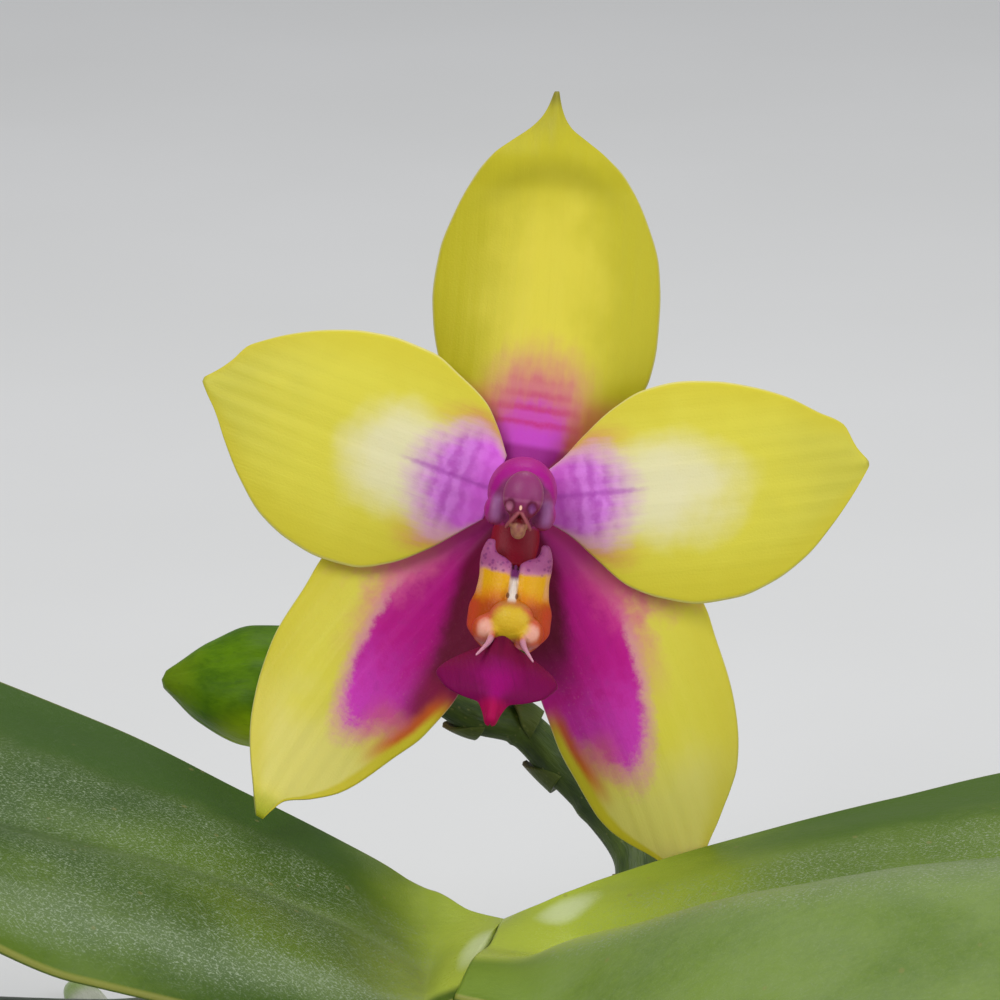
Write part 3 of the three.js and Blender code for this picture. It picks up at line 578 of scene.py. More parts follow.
def dorsal_look():
    look = Look("dorsal_sepal_waxy", **WAXY)
    t, s, side, along, across, layer = look.shell_fields()
    veins, grain = tepal_skin(look, along, across, layer)
    cloud = look.noise(along * 0.2, across * 0.25, layer * 7, detail=3)
    soft = look.noise(along * 0.8, across * 0.8, layer * 5, detail=3)
    # The ground is darker olive-yellow at the sides and towards the tip; at the sides this is painted shade
    # of the margins that fall back.
    middle = (abs(s) + cloud * 0.5).smooth(0.75, 0.1) * (t + cloud * 0.2).smooth(0.9, 0.6)
    look.ground(middle, (192, 182, 34), (220, 206, 66))
    look.lay((t + cloud * 0.1).smooth(0.86, 0.97), (166, 158, 44))
    look.lay(veins.smooth(0.02, 0.3) * 0.16, YELLOW_DEEP)
    # Painted shade: an olive band arching across the sepal where it folds below the tip.
    fold_shade = (abs(t - 0.81 + 0.09 * (s * s)) + cloud * 0.06).smooth(0.07, 0.0) * abs(s).smooth(1.0, 0.4)
    look.lay(fold_shade * 0.4, (158, 148, 30))
    fray = soft * 0.05 + look.noise(along * 0.3, across * 1.6, layer, detail=3) * 0.05
    base = t + fray + 0.26 * (s * s)
    look.lay(base.smooth(0.4, 0.25) * abs(s).smooth(0.3, 0.75) * 0.7, (206, 118, 62))
    look.lay(base.smooth(0.44, 0.29) * abs(s).smooth(0.75, 0.25) * 0.85, (208, 122, 118))
    bands = (along * 4.6 - 0.4 + soft * 1.6 + cloud * 2).sine() + grain * 0.8
    lines = look.mix(bands.smooth(-1.3, 1.1), (198, 64, 120), (206, 100, 134))
    look.lay(base.smooth(0.34, 0.25) * 0.8, lines)
    inside = look.mix(bands.smooth(-1.6, 0.6), (198, 46, 124), (204, 76, 176))
    inside = look.mix((t + fray * 0.5).smooth(0.2, 0.16), inside, (202, 72, 198))
    look.lay(base.smooth(0.27, 0.22), inside)
    flare = abs(s).smooth(0.3, 0.7) * t.smooth(0.12, 0.16) * t.smooth(0.3, 0.22)
    look.lay(flare * 0.6, (200, 92, 88))
    look.lay((t - 0.125).smooth(0.02, 0.0) * 0.7, MAGENTA_DEEP)
    look.lay((t + grain * 0.01).smooth(0.95, 0.985) * 0.8, (128, 122, 40))
    margin = abs(s).smooth(0.965, 0.995) * t.smooth(0.97, 0.93)
    blush = (t + cloud * 0.2).smooth(0.3, 0.1) * 0.4
    return finish_tepal(look, side, margin, blush, veins, grain)


# For each lateral sepal, the sign of s on the half beside the lip, where along the sepal the dark
# red and painted shade of that half fade out, and the other half's colour near the centre
LATERAL_MARKS = {
    "left": dict(inner=1, fade=(0.72, 0.55), blush=(218, 96, 146)),
    "right": dict(inner=-1, fade=(0.5, 0.32), blush=(210, 66, 140)),
}


def lateral_look(hand, inner, fade, blush):
    look = Look(f"lateral_sepal_{hand}_waxy", **WAXY)
    t, s, side, along, across, layer = look.shell_fields()
    veins, grain = tepal_skin(look, along, across, layer)
    m = s * inner
    cloud = look.noise(along * 0.2, across * 0.2, layer * 7, detail=3)
    soft = look.noise(along * 0.7, across * 0.7, layer, detail=4, roughness=0.6)
    fleck = look.noise(along * 2.6, across * 2.6, layer, detail=4, roughness=0.75)
    pale = (t + cloud * 0.2).smooth(0.62, 0.8) * t.smooth(1.0, 0.9)
    look.ground(pale * 0.5, YELLOW, (218, 208, 134))
    look.lay((cloud * 0.3 - m).smooth(0.4, 0.9) * 0.6, YELLOW_DEEP)
    look.lay(veins.smooth(0.05, 0.3) * 0.18, YELLOW_DEEP)
    look.lay((t + soft * 0.03).smooth(0.93, 0.985) * 0.8, (150, 158, 24))
    ring = spot(t.largest(0.3), m, (0.3, 0.3), (0.39, 0.54))
    fringe = soft * 0.5 + fleck * 0.35
    pink = (ring + fringe * 2.0).smooth(2.6, 1.0) * m.smooth(0.75, 0.5)
    look.lay(pink * t.smooth(0.62, 0.4) * 0.75, (214, 132, 124))
    look.lay((ring + fringe).smooth(1.5, 1.0) * m.smooth(0.8, 0.6) * 0.75, (214, 140, 160))
    inner_part = m.smooth(0.35, 0.6) * (t + soft * 0.1).smooth(0.68, 0.56)
    body = (ring + fringe * 0.9).smooth(1.12, 0.8).largest(inner_part)
    core = look.mix((t + soft * 0.2).smooth(0.4, 0.66), MAGENTA, MAGENTA_BRIGHT)
    core = look.mix(soft.smooth(0.02, 0.25) * 0.25, core, (146, 18, 98))
    core = look.mix(fleck.smooth(0.06, 0.22) * m.smooth(0.0, 0.7) * 0.4, core, (204, 112, 150))
    look.lay(body, core)
    # The half beside the lip goes dark red: partly the sepal's own red, partly painted shade where its margin
    # rolls back and near the lip.
    inwards = (0.42 - t).largest(0.0) * 1.6 - (t - 0.45).largest(0.0) * 0.8
    red_and_painted_shade = (m + soft * 0.12 + inwards).smooth(0.36, 0.66)
    shade = look.mix(t.smooth(0.42, 0.5), DARK_RED_SHADE, (122, 8, 46))
    look.lay(red_and_painted_shade * t.smooth(*fade) * 0.9, shade)
    rim = (m + soft * 0.06 + (t - 0.5).largest(0.0) * 0.5).smooth(0.74, 0.88) * t.smooth(0.46, 0.54)
    look.lay(rim * t.smooth(0.78, 0.64) * 0.9, (200, 92, 18))
    edge = (m + soft * 0.03 + (t - 0.5).largest(0.0) * 0.3).smooth(0.86, 0.95)
    look.lay(edge * t.smooth(0.47, 0.58), YELLOW_DEEP)
    outer = (m + soft * 0.3).smooth(0.05, -0.25)
    look.lay(outer * (t + soft * 0.15).smooth(0.44, 0.28) * 0.85, blush)
    wedge = (m + soft * 0.2).smooth(0.25, 0.5) * m.smooth(0.84, 0.72) * (t + soft * 0.1).smooth(0.76, 0.62)
    look.lay(wedge * (t.smooth(0.56, 0.62) + fleck * 0.3) * 0.6, (208, 96, 116))
    # Near the root, painted shade: dark crimson on the half beside the lip; painted light: a brightened
    # violet on the other half.
    base_shade_and_light = look.mix(m.smooth(-0.3, 0.2), (214, 56, 168), (116, 2, 60))
    look.lay((t + soft * 0.04).smooth(0.26, 0.16) * 0.8, base_shade_and_light)
    margin = abs(s).smooth(0.97, 0.995) * t.smooth(0.35, 0.6)
    return finish_tepal(look, side, margin, body * 0.5, veins, grain)


def local_fields(look, axis):
    """A fused piece's place in the bloom's own frame, with x measured from that axis."""
    x, y, z = look.attribute("local")
    return x - axis, y, z


def pores(look, place, density, height):
    """Fine noise, raised as bumps of that height and given back for the roughness."""
    grain = look.noise(*(c * density for c in place))
    look.bump(grain, height)
    return grain


def column_look():
    look = Look("column_mauve", **WAXY)
    x, y, z = place = local_fields(look, COLUMN_AXIS)
    cloud = look.noise(x * 0.9, y * 0.9, z * 0.9, detail=3)
    look.ground((z + cloud * 3).smooth(3.5, 8.5), (140, 4, 100), (166, 6, 132))
    face = spot(x, y, (0, -1.5), (3.05, 4.2))
    head = (face + cloud * 0.3).smooth(1.0, 0.78) * z.smooth(6.5, 8.5)
    mauve = look.mix(cloud.smooth(-0.1, 0.2), (146, 54, 112), (124, 36, 94))
    look.lay(head, mauve)
    flank = abs(abs(x) - 2.25).smooth(0.75, 0.1) * abs(y + 0.9).smooth(1.6, 0.6) * z.smooth(8.0, 10.0)
    look.lay((flank + cloud * 0.3) * 0.6, (166, 110, 168))
    under = (y + cloud * 0.4).smooth(-2.1, -2.6)
    look.lay(under, (136, 0, 34))
    return look.paint(0.46 + pores(look, place, 6, 0.03) * 0.2)


def anther_look():
    look = Look("anther_mauve", **WAXY)
    x, y, z = place = local_fields(look, CAP_AXIS)
    far = abs(x)
    cloud = look.noise(x * 2, y * 2, z * 2, detail=3)
    look.ground((y + cloud * 0.8).smooth(-1.2, 0.4), (116, 26, 62), (142, 54, 108))
    look.lay(abs(y + 0.05).smooth(0.25, 0.04) * 0.3, (178, 108, 142))
    pit = spot(far, y, (1.0, -0.65), (0.5, 0.65))
    look.lay((pit + cloud * 0.8).smooth(1.6, 0.6) * 0.8, (100, 14, 54))
    hollow = look.mix(x.smooth(-0.2, 0.2), (186, 110, 142), (134, 66, 128))
    look.lay((pit + cloud * 0.6).smooth(0.7, 0.0) * 0.9, hollow)
    fork = far - (-0.9 - y) * 0.7
    below = y.smooth(-0.9, -1.15)
    look.lay(fork.smooth(0.05, -0.1) * below, (90, 6, 16))
    look.lay(abs(fork).smooth(0.3, 0.06) * below * 0.8, (160, 84, 92))
    tip = (y + cloud * 0.3).smooth(-1.95, -2.25) * far.smooth(0.9, 0.7)
    look.lay(tip, look.mix(cloud.smooth(-0.1, 0.2), (156, 104, 78), (136, 74, 74)))
    # Painted highlight: a pale glint on the small ridge between the hollows.
    painted_glint = spot(x, y, (0, -0.68), (0.14, 0.24))
    look.lay(painted_glint.smooth(1.2, 0.3), (246, 196, 170))
    return look.paint(0.4 + pores(look, place, 7, 0.02) * 0.2)


def lip_look():
    look = Look("lip_orange_and_white", **WAXY)
    x, y, z = place = local_fields(look, LIP_AXIS)
    cloud = look.noise(x * 0.9, y * 0.9, z * 0.9, detail=3)
    far = abs(x)
    look.ground((y + cloud * 1.2).smooth(-9.4, -7.4), (216, 118, 0), (224, 164, 0))
    # Painted shadow: dark orange-brown along the callus's border, lower down.
    look.lay((y - far * 0.1 + cloud * 0.8).smooth(-8.6, -9.9) * 0.85, (172, 62, 0))
    flank = (far + cloud * 0.6).smooth(2.5, 3.3) * (y + cloud).smooth(-8.6, -9.8)
    look.lay(flank, (196, 66, 30))
    look.lay((far + cloud * 0.3).smooth(2.6, 2.95) * y.smooth(-9.0, -8.0) * 0.6, (224, 156, 126))
    top = (y + cloud * 0.6 - far * 0.08).smooth(-6.85, -6.35)
    look.lay(top, (196, 122, 150))
    look.lay((y + cloud).smooth(-6.6, -5.6) * 0.8, (156, 66, 128))
    spots = (look.cells(x * 2.2, y * 2.6, z * 2.2) - cloud * 0.5).smooth(0.45, 0.15) * top
    look.lay(spots * 0.6, (112, 34, 104))
    ridge = far.smooth(0.5, 0.26) * y.smooth(-9.4, -8.9)
    look.lay(ridge, look.mix(y.smooth(-7.3, -6.7), (232, 214, 200), (116, 48, 104)))
    dots = spot(far, y, (0.4, -8.5), (0.16, 0.28))
    look.lay(dots.smooth(1.3, 0.4) * 0.85, (110, 62, 30))
    yolk = spot(x, y, (0.15, -10.8), (1.9, 1.75))
    # Each shoulder is salmon with a pale painted highlight at its middle, the crest spot.
    crest = spot(far, y, (2.0, -11.6), (0.85, 0.95))
    shoulder_and_highlight = look.mix((crest + cloud * 0.8).smooth(1.3, 0.2), (206, 92, 62), (230, 164, 144))
    cushion = look.mix((yolk + cloud * 0.9).smooth(0.4, 1.2), (216, 178, 40), shoulder_and_highlight)
    cushion = look.mix((y + cloud * 0.5).smooth(-12.2, -12.9) * 0.8, cushion, (214, 124, 142))
    cushion = look.mix((y + cloud * 0.5).smooth(-9.8, -9.0) * 0.8, cushion, (194, 130, 62))
    near = (z + far * 0.35).smooth(9.75, 10.15) * y.smooth(-8.6, -9.3) * far.smooth(3.1, 2.6)
    look.lay(near, cushion)
    # Painted shade: parts set deep in the bloom go dark crimson.
    look.lay(z.smooth(7.4, 6.4) * 0.9, (132, 10, 36))
    look.lay(z.smooth(11.4, 12.0), (206, 140, 164))
    return look.paint(0.4 + pores(look, place, 5, 0.05) * 0.2)


def midlobe_look():
    look = Look("midlobe_velvet", Subsurface_Weight=0.06, Subsurface_Scale=0.0008, Specular_IOR_Level=0.08)
    t, s, _, along, across, layer = look.shell_fields()
    cloud = look.noise(along * 0.5, across * 0.5, layer, detail=3)
    look.ground((t + cloud * 0.3).smooth(0.2, 0.6), (114, 4, 54), (116, 4, 72))
    middle = (abs(s) + cloud * 0.6).smooth(0.6, 0.0) * (t + cloud * 0.2).smooth(0.3, 0.6)
    look.lay(middle * 0.85, (150, 0, 106))
    look.lay((t + cloud * 0.1).smooth(0.72, 0.86), (162, 8, 74))
    look.lay(abs(across).smooth(0.35, 0.05) * t.smooth(0.5, 0.1) * 0.5, (84, 0, 40))
    veins = look.noise(along * 0.3, across * 2.6 - along * 0.8, layer, detail=3)
    look.lay(veins.smooth(0.05, 0.3) * 0.35, (84, 4, 52))
    look.lay(abs(s).smooth(0.95, 0.995) * 0.25, (150, 44, 96))
    grain = look.noise(along * 7, across * 7, layer)
    look.bump(veins, 0.08)
    look.bump(grain, 0.03)
    return look.paint(0.55 + grain * 0.15)


def stalk_look():
    look = Look("stalk_green", Specular_IOR_Level=0.4)
    t, _, _, along, x, y = look.shell_fields()
    cloud = look.noise(along * 0.15, x * 0.8, y * 0.8, detail=4)
    fine = look.noise(along * 0.5, x * 4, y * 4, detail=3)
    look.ground((t + cloud * 0.4).smooth(0.1, 0.5), (186, 182, 70), (98, 122, 36))
    look.lay(cloud.smooth(0.02, 0.25) * 0.6, (70, 94, 26))
    look.lay((t + cloud * 0.1).smooth(0.07, 0.0) * 0.5, (200, 90, 150))
    look.bump(fine, 0.08)
    return look.paint(0.45 + fine * 0.25)


def spike_look():
    look = Look("spike_green", Specular_IOR_Level=0.4)
    t, _, kind, along, x, y = look.shell_fields()
    cloud = look.noise(along * 0.2, x * 0.7, y * 0.7, detail=4)
    fine = look.noise(along * 0.6, x * 4, y * 4, detail=3)
    look.ground(cloud.smooth(-0.15, 0.2), (74, 94, 28), (46, 66, 18))
    scale = abs(kind).smooth(1.2, 1.8)
    dry = look.mix((t + fine * 0.3).smooth(0.5, 1.0), (82, 96, 32), (104, 84, 42))
    look.lay(scale, dry)
    dots = look.cells(along * 0.9, x * 1.4, y * 1.4).smooth(0.2, 0.1)
    look.lay(dots * 0.3, (140, 140, 76))
    look.bump(fine, 0.12)
    return look.paint(0.5 + fine * 0.25)


def bud_look():
    look = Look("bud_green", **dict(WAXY, Specular_IOR_Level=0.1))
    t, _, _, along, x, y = look.shell_fields()
    cloud = look.noise(along * 0.25, x * 0.35, y * 0.35, detail=4)
    fine = look.noise(along * 0.25, x * 2.6, y * 2.6, detail=3)
    look.ground((cloud + fine * 0.3).smooth(-0.2, 0.22), (62, 98, 0), (92, 130, 0))
    # Painted light: a bright yellow-green on the lower side towards the tip, where it lies in shade.
    painted_underside_light = (x + cloud * 3).smooth(-1.5, 3.0) * (t + cloud * 0.1).smooth(0.88, 0.76)
    look.lay(painted_underside_light * 0.85, (158, 184, 16))
    look.lay((t + cloud * 0.1).smooth(0.88, 0.99) * 0.6, (104, 126, 14))
    look.lay(fine.smooth(0.08, 0.3) * 0.35, (42, 70, 4))
    look.bump(fine, 0.07)
    return look.paint(0.45 + fine * 0.3)


def hairline(look, along, across, turn, seed):
    """Short fine scratches that run at that angle in degrees to the midrib, from 0 to 1."""
    c, s = math.cos(math.radians(turn)), math.sin(math.radians(turn))
    u, v = along * c + across * s, across * c - along * s
    return look.noise(u * 0.6, v * 6, seed, detail=2, roughness=0.6).smooth(0.1, 0.2)


def leaf_look(name, seed, front, crown, crest, tone, painted_shine):
    """front is the sign of s on the half nearer the viewer. The yellow-green crown ends at about
    the share crown of the length, and a dusty grey, partly a painted sheen, lies along the front half's
    share crest. tone is 0 for a dark leaf and 1 for a light one. The last argument gives the place
    (t, f) and half-size of a painted highlight, a pale patch."""
    look = Look(name, Specular_IOR_Level=0.22)
    t, s, side, along, across, layer = look.shell_fields()
    f = s * front
    broad = look.noise(along * 0.05, across * 0.07, seed, detail=4)
    fine = look.noise(along * 1.2, across * 1.8, layer * 3 + seed, detail=4, roughness=0.65)
    mottle = look.noise(along * 3.2, across * 4.6, seed + 5, detail=4, roughness=0.75)
    patch = look.noise(along * 0.12, across * 0.18, seed + 9, detail=4, roughness=0.6)
    dark = look.mix(tone, (52, 80, 4), (84, 112, 20))
    light = look.mix(tone, (80, 106, 12), (112, 138, 38))
    look.ground((broad + fine * 0.3).smooth(-0.2, 0.2), dark, light)
    rear = (f + broad * 0.3).smooth(0.05, -0.35) * t.smooth(crown, crown + 0.2)
    look.lay(rear * 0.55, look.mix(tone, (48, 76, 2), (66, 92, 8)))
    olive = t.smooth(crown + 0.3, crown) * (f + patch * 0.4).smooth(-0.2, 0.1) * f.smooth(0.9, 0.6)
    look.lay(olive * (1 - tone) * 0.6, (116, 132, 52))
    back = (f + patch * 0.5).smooth(-0.5, -0.68) * t.smooth(0.26, 0.36)
    look.lay(back * 0.8, look.mix(tone, (52, 84, 2), (66, 96, 4)))
    young = (t + patch * 0.1 + fine * 0.04).smooth(crown + 0.2, crown - 0.12)
    young = young * f.smooth(crest + 0.15, crest - 0.05)
    look.lay(young * 0.9, (184, 200, 66))
    # Painted highlight: a pale glossy patch near the crown.
    painted_gleam = (spot(t, f, painted_shine[:2], painted_shine[2:]) + fine * 0.6).smooth(2.0, 0.0)
    look.lay(painted_gleam * 0.75, (220, 232, 176))
    # A pale midrib: partly its own colour, partly painted light that evens out the shade in the groove.
    rib_and_painted_light = abs(across + patch * 2).smooth(1.6, 0.2) * (1 - young) * t.smooth(0.48, 0.3)
    look.lay(rib_and_painted_light * (0.2 + mottle.smooth(0.0, 0.2) * 0.4), (132, 150, 96))
    look.lay(abs(s).smooth(0.975, 0.995) * 0.6, (156, 150, 74))
    band = (f + patch * 0.3).smooth(-0.62, -0.4) * (f + patch * 0.3).smooth(crest + 0.2, crest)
    marks = sum(hairline(look, along, across, turn, seed + k) for k, turn in ((1, 12), (2, 62), (3, -52)))
    strips = look.noise(along * 0.05, across * 2.2, seed + 4, detail=3).smooth(0.12, 0.26)
    speck = mottle.smooth(0.03, 0.13)
    scuff = band * (patch.smooth(-0.25, 0.15) * (0.05 + speck) + speck * 0.3 + marks * 0.5)
    # Along the crest, a pale line: partly dust, partly painted sheen on the ridge.
    line = abs(f - crest + patch * 0.25).smooth(0.2, 0.0) * (0.3 + speck * 0.6)
    haze = f.smooth(0.25, 0.6) * (patch + 0.35 + speck * 0.2).largest(0.0) * tone
    dust_and_sheen = (scuff + line + haze * 0.7 + strips * band * 0.4) * look.facing_up().smooth(-0.1, 0.5)
    dust_and_sheen = (dust_and_sheen + marks * 0.08) * (1 - 0.8 * young) * t.smooth(0.02, 0.2)
    look.lay(dust_and_sheen * 0.75, look.mix(tone, (142, 156, 126), (146, 158, 128)))
    look.lay(side.smooth(0.3, -0.3) * 0.75, (92, 114, 52))
    specks = look.cells(along * 0.3, across * 0.3, seed).smooth(0.1, 0.05)
    look.lay(specks * 0.35, (140, 128, 76))
    look.bump(fine, 0.04)
    look.bump(mottle, 0.03)
    return look.paint(0.4 + dust_and_sheen * 0.35 - young * 0.14 - painted_gleam * 0.08 + fine * 0.08)


def stem_look():
    look = Look("stem_green", Specular_IOR_Level=0.3)
    t, _, _, along, x, y = look.shell_fields()
    cloud = look.noise(along * 0.3, x * 0.3, y * 0.3, detail=4)
    fibre = look.noise(along * 0.4, x * 2.4, y * 2.4, detail=4, roughness=0.65)
    look.ground((cloud + t - 0.2).smooth(-0.25, 0.25), (108, 92, 56), (132, 140, 66))
    look.lay(fibre.smooth(0.0, 0.25) * 0.6, (84, 66, 42))
    look.lay(fibre.smooth(0.0, -0.3) * 0.4, (176, 166, 112))
    look.bump(fibre, 0.4)
    return look.paint(0.7 + fibre * 0.2)


def root_look(name, seed):
    look = Look(name.replace("root", "root_velamen"), Specular_IOR_Level=0.3, Sheen_Weight=0.15)
    t, _, _, along, x, y = look.shell_fields()
    cloud = look.noise(along * 0.12, x * 0.5, y * 0.5 + seed * 3.7, detail=4)
    streak = look.noise(along * 0.25, x * 2.8, y * 2.8 + seed * 3.7, detail=4, roughness=0.6)
    look.ground((cloud + streak * 0.4).smooth(-0.2, 0.2), (176, 180, 156), (206, 208, 194))
    look.lay((cloud + 0.1).smooth(0.0, 0.35) * 0.5, (138, 150, 96))
    look.lay(streak.smooth(0.08, 0.3) * 0.5, (150, 136, 104))
    tip = (t + cloud * 0.02).smooth(0.9, 0.945)
    look.lay(tip, (128, 158, 52))
    look.lay((t + cloud * 0.01).smooth(0.975, 1.0) * 0.7, (150, 110, 60))
    look.bump(streak, 0.2)
    look.bump(look.noise(along * 3, x * 3, y * 3), 0.06)
    return look.paint(0.72 - tip * 0.35)


# Sepals and petals

# A tepal bends at one point on its way to the tip, seen on the bloom's face. Each key of its outline
# is (share of the length, half-width to the right, half-width to the left), looking out from the
# centre, in shares of half_width.
PETAL = dict(
    depth=[(0, PETAL_LAYER), (0.25, PETAL_LAYER + 0.5), (0.6, PETAL_LAYER + 0.5), (1, PETAL_LAYER - 0.9)],
    reflex=[(0, 0), (0.3, 0.9), (0.6, 1.1), (1, 0)],
)
LATERAL = dict(half_width=8.5, reflex=[(0, 0.4), (0.3, 2.4), (0.7, 2), (1, 0)])
TEPALS = {
    "dorsal_sepal": dict(
        bend=(1.05, 18), tip=(-1.3, 37), half_width=10.3,
        depth=[(0, 0), (0.3, -0.5), (0.6, -0.9), (0.76, -0.8), (0.85, 0), (0.92, -0.3), (1, -1.4)],
        reflex=[(0, 0.5), (0.3, 3), (0.6, 2.6), (0.85, 1), (1, 0)],
        outline=[
            (0.08, 0.2, 0.2), (0.2, 0.66, 0.66), (0.34, 0.97, 0.91), (0.42, 1, 0.98), (0.5, 0.995, 1.01),
            (0.6, 0.955, 0.98), (0.7, 0.825, 0.87), (0.8, 0.615, 0.69), (0.85, 0.42, 0.54),
            (0.88, 0.27, 0.39), (0.91, 0.13, 0.23), (0.94, 0.065, 0.12), (0.97, 0.035, 0.06),
            (1, 0.02, 0.02),
        ],
    ),
    "petal_left": dict(
        PETAL, bend=(-14.5, 3.4), tip=(-29.6, 7.2), half_width=10.5,
        outline=[
            (0.08, 0.3, 0.25), (0.14, 0.52, 0.45), (0.2, 0.685, 0.65), (0.3, 0.82, 0.9),
            (0.4, 0.92, 1.04), (0.5, 0.93, 1.065), (0.6, 0.89, 1.02), (0.7, 0.795, 0.905),
            (0.8, 0.65, 0.67), (0.88, 0.49, 0.415), (0.915, 0.4, 0.285), (0.94, 0.25, 0.2),
            (0.97, 0.12, 0.115), (1, 0.02, 0.02),
        ],
    ),
    "lateral_sepal_left": dict(
        LATERAL, bend=(-12.6, -14.2), tip=(-19.5, -31.1), lean=-0.5,
        depth=[(0, 0), (0.3, -0.5), (0.7, 0.4), (0.9, 2.2), (1, 3.4)],
        outline=[
            (0.08, 0.36, 0.17), (0.2, 0.68, 0.5), (0.33, 1.08, 0.87), (0.42, 1.06, 0.96), (0.5, 1, 1),
            (0.6, 0.955, 0.975), (0.7, 0.84, 0.85), (0.8, 0.66, 0.7), (0.85, 0.535, 0.58),
            (0.9, 0.38, 0.36), (0.94, 0.245, 0.125), (0.97, 0.15, 0.07), (1, 0.05, 0.03),
        ],
    ),
    "petal_right": dict(
        PETAL, bend=(14.5, 3), tip=(30.7, 7.2), half_width=10.2,
        outline=[
            (0.08, 0.22, 0.22), (0.14, 0.35, 0.34), (0.2, 0.54, 0.5), (0.3, 0.845, 0.73),
            (0.4, 0.985, 0.87), (0.5, 1.055, 0.91), (0.6, 1.035, 0.88), (0.7, 0.935, 0.8),
            (0.8, 0.745, 0.67), (0.88, 0.5, 0.505), (0.945, 0.26, 0.37), (0.97, 0.155, 0.165),
            (1, 0.02, 0.02),
        ],
    ),
    "lateral_sepal_right": dict(
        LATERAL, bend=(12.6, -14.2), tip=(20.3, -33), lean=0.5,
        depth=[(0, 0), (0.3, -0.7), (0.7, -2.6), (0.9, -5), (1, -6.4)],
        outline=[
            (0.08, 0.17, 0.17), (0.2, 0.5, 0.6), (0.33, 0.77, 1.1), (0.42, 0.85, 1.14), (0.49, 0.88, 1.1),
            (0.585, 0.905, 1.055), (0.675, 0.86, 0.97), (0.765, 0.79, 0.81), (0.81, 0.71, 0.66),
            (0.84, 0.62, 0.54), (0.87, 0.5, 0.425), (0.9, 0.365, 0.3), (0.93, 0.25, 0.19),
            (0.96, 0.14, 0.12), (1, 0.03, 0.03),
        ],
    ),
}


def tepal_surface(bend, tip, half_width, outline, depth, reflex, lean=0.0):
    """depth is the midline's height out of the face, reflex how far the margins fall back from it,
    and lean how far one side stands higher than the other."""
    right, left = (through([(key[0], key[k]) for key in outline]) for k in (1, 2))
    height, fall = through(depth), through(reflex)
    bend, tip = np.array(bend, float), np.array(tip, float)

    def place(t, s):
        at = 2 * (t * (1 - t))[..., None] * bend + (t * t)[..., None] * tip
        along = unit((1 - t)[..., None] * bend + t[..., None] * (tip - bend))
        width = np.where(s > 0, left(t), right(t))
        reach = s * half_width * width
        return np.stack([
            at[..., 0] - along[..., 1] * reach,
            at[..., 1] + along[..., 0] * reach,
            height(t) - fall(t) * s * s * width + lean * s * width,
        ], -1)

    return place


def tepal_thickness(t, s):
    middle = TEPAL_THICKNESS - 0.25 * t
    return middle + (MARGIN_THICKNESS - middle) * s * s


def tepal_relief(seed, keel):
    """Low ribs along the tepal, a slight groove down its face, and a keel of that height behind it."""
    def relief(t, s, across, side):
        ribs = 0.035 * np.cos(4.2 * across + seed) * (1 - s * s)
        swell = 0.12 * np.sin(9 * t + seed) * np.cos(2.2 * s + seed) * (1 - s * s) * smoothstep(t, 0.1, 0.3)
        middle = np.exp(-((across / 0.7) ** 2)) * smoothstep(t, 0.95, 0.8)
        return side * swell + ribs + (keel * middle if side < 0 else -0.1 * middle)

    return relief


def tepal_look(name):
    if name == "dorsal_sepal":
        return dorsal_look()
    hand = name.split("_")[-1]
    if name.startswith("petal"):
        return petal_look(hand, **PETAL_MARKS[hand])
    return lateral_look(hand, **LATERAL_MARKS[hand])


def add_tepals():
    for seed, (name, shape) in enumerate(TEPALS.items()):
        relief = tepal_relief(seed * 1.9, keel=0.35 if "sepal" in name else 0.2)
        shell = blade(tepal_surface(**shape), tepal_thickness, 130, 60, TEPAL_START, relief=relief)
        add_shells(name, [shell.moved(in_bloom)], tepal_look(name))


# Column, anther cap and lip
def add_column():
    height = through([(0, 0), (0.5, 0.8), (0.8, 0.6), (1, 0.3)])
    body = sweep(
        lambda t: np.stack([0.1 + 0 * t, height(t), COLUMN_BASE + COLUMN_LENGTH * t], -1),
        flat=through([(0, 2.2), (0.4, 2.5), (0.75, 3.1), (0.9, 2.9), (1, 1.9)]),
        tall=through([(0, 2.1), (0.4, 2.7), (0.75, 3.2), (0.9, 2.7), (1, 1.7)]),
        upright=(0, 1, 0), sides=40, steps=40,
    )
    foot = sweep(
        path_through([(0, -0.5, 4.6), (0, -2.6, 4.2), (0, -4.6, 4.5), (0, -6.2, 5.4)]),
        flat=through([(0, 1.6), (0.5, 2.2), (1, 1.7)]),
        tall=through([(0, 0.9), (0.5, 1.1), (1, 0.8)]),
        upright=(0, 0.3, 1), sides=32, steps=24,
    )
    wings = [ellipsoid((0.1 + side * 2.1, -1.1, 10.4), (1.1, 1.4, 1.2)) for side in (-1, 1)]
    points, faces = fused([body, foot, *wings], voxel=0.14, smoothing=8)
    add_fused("column", points, faces, column_look())


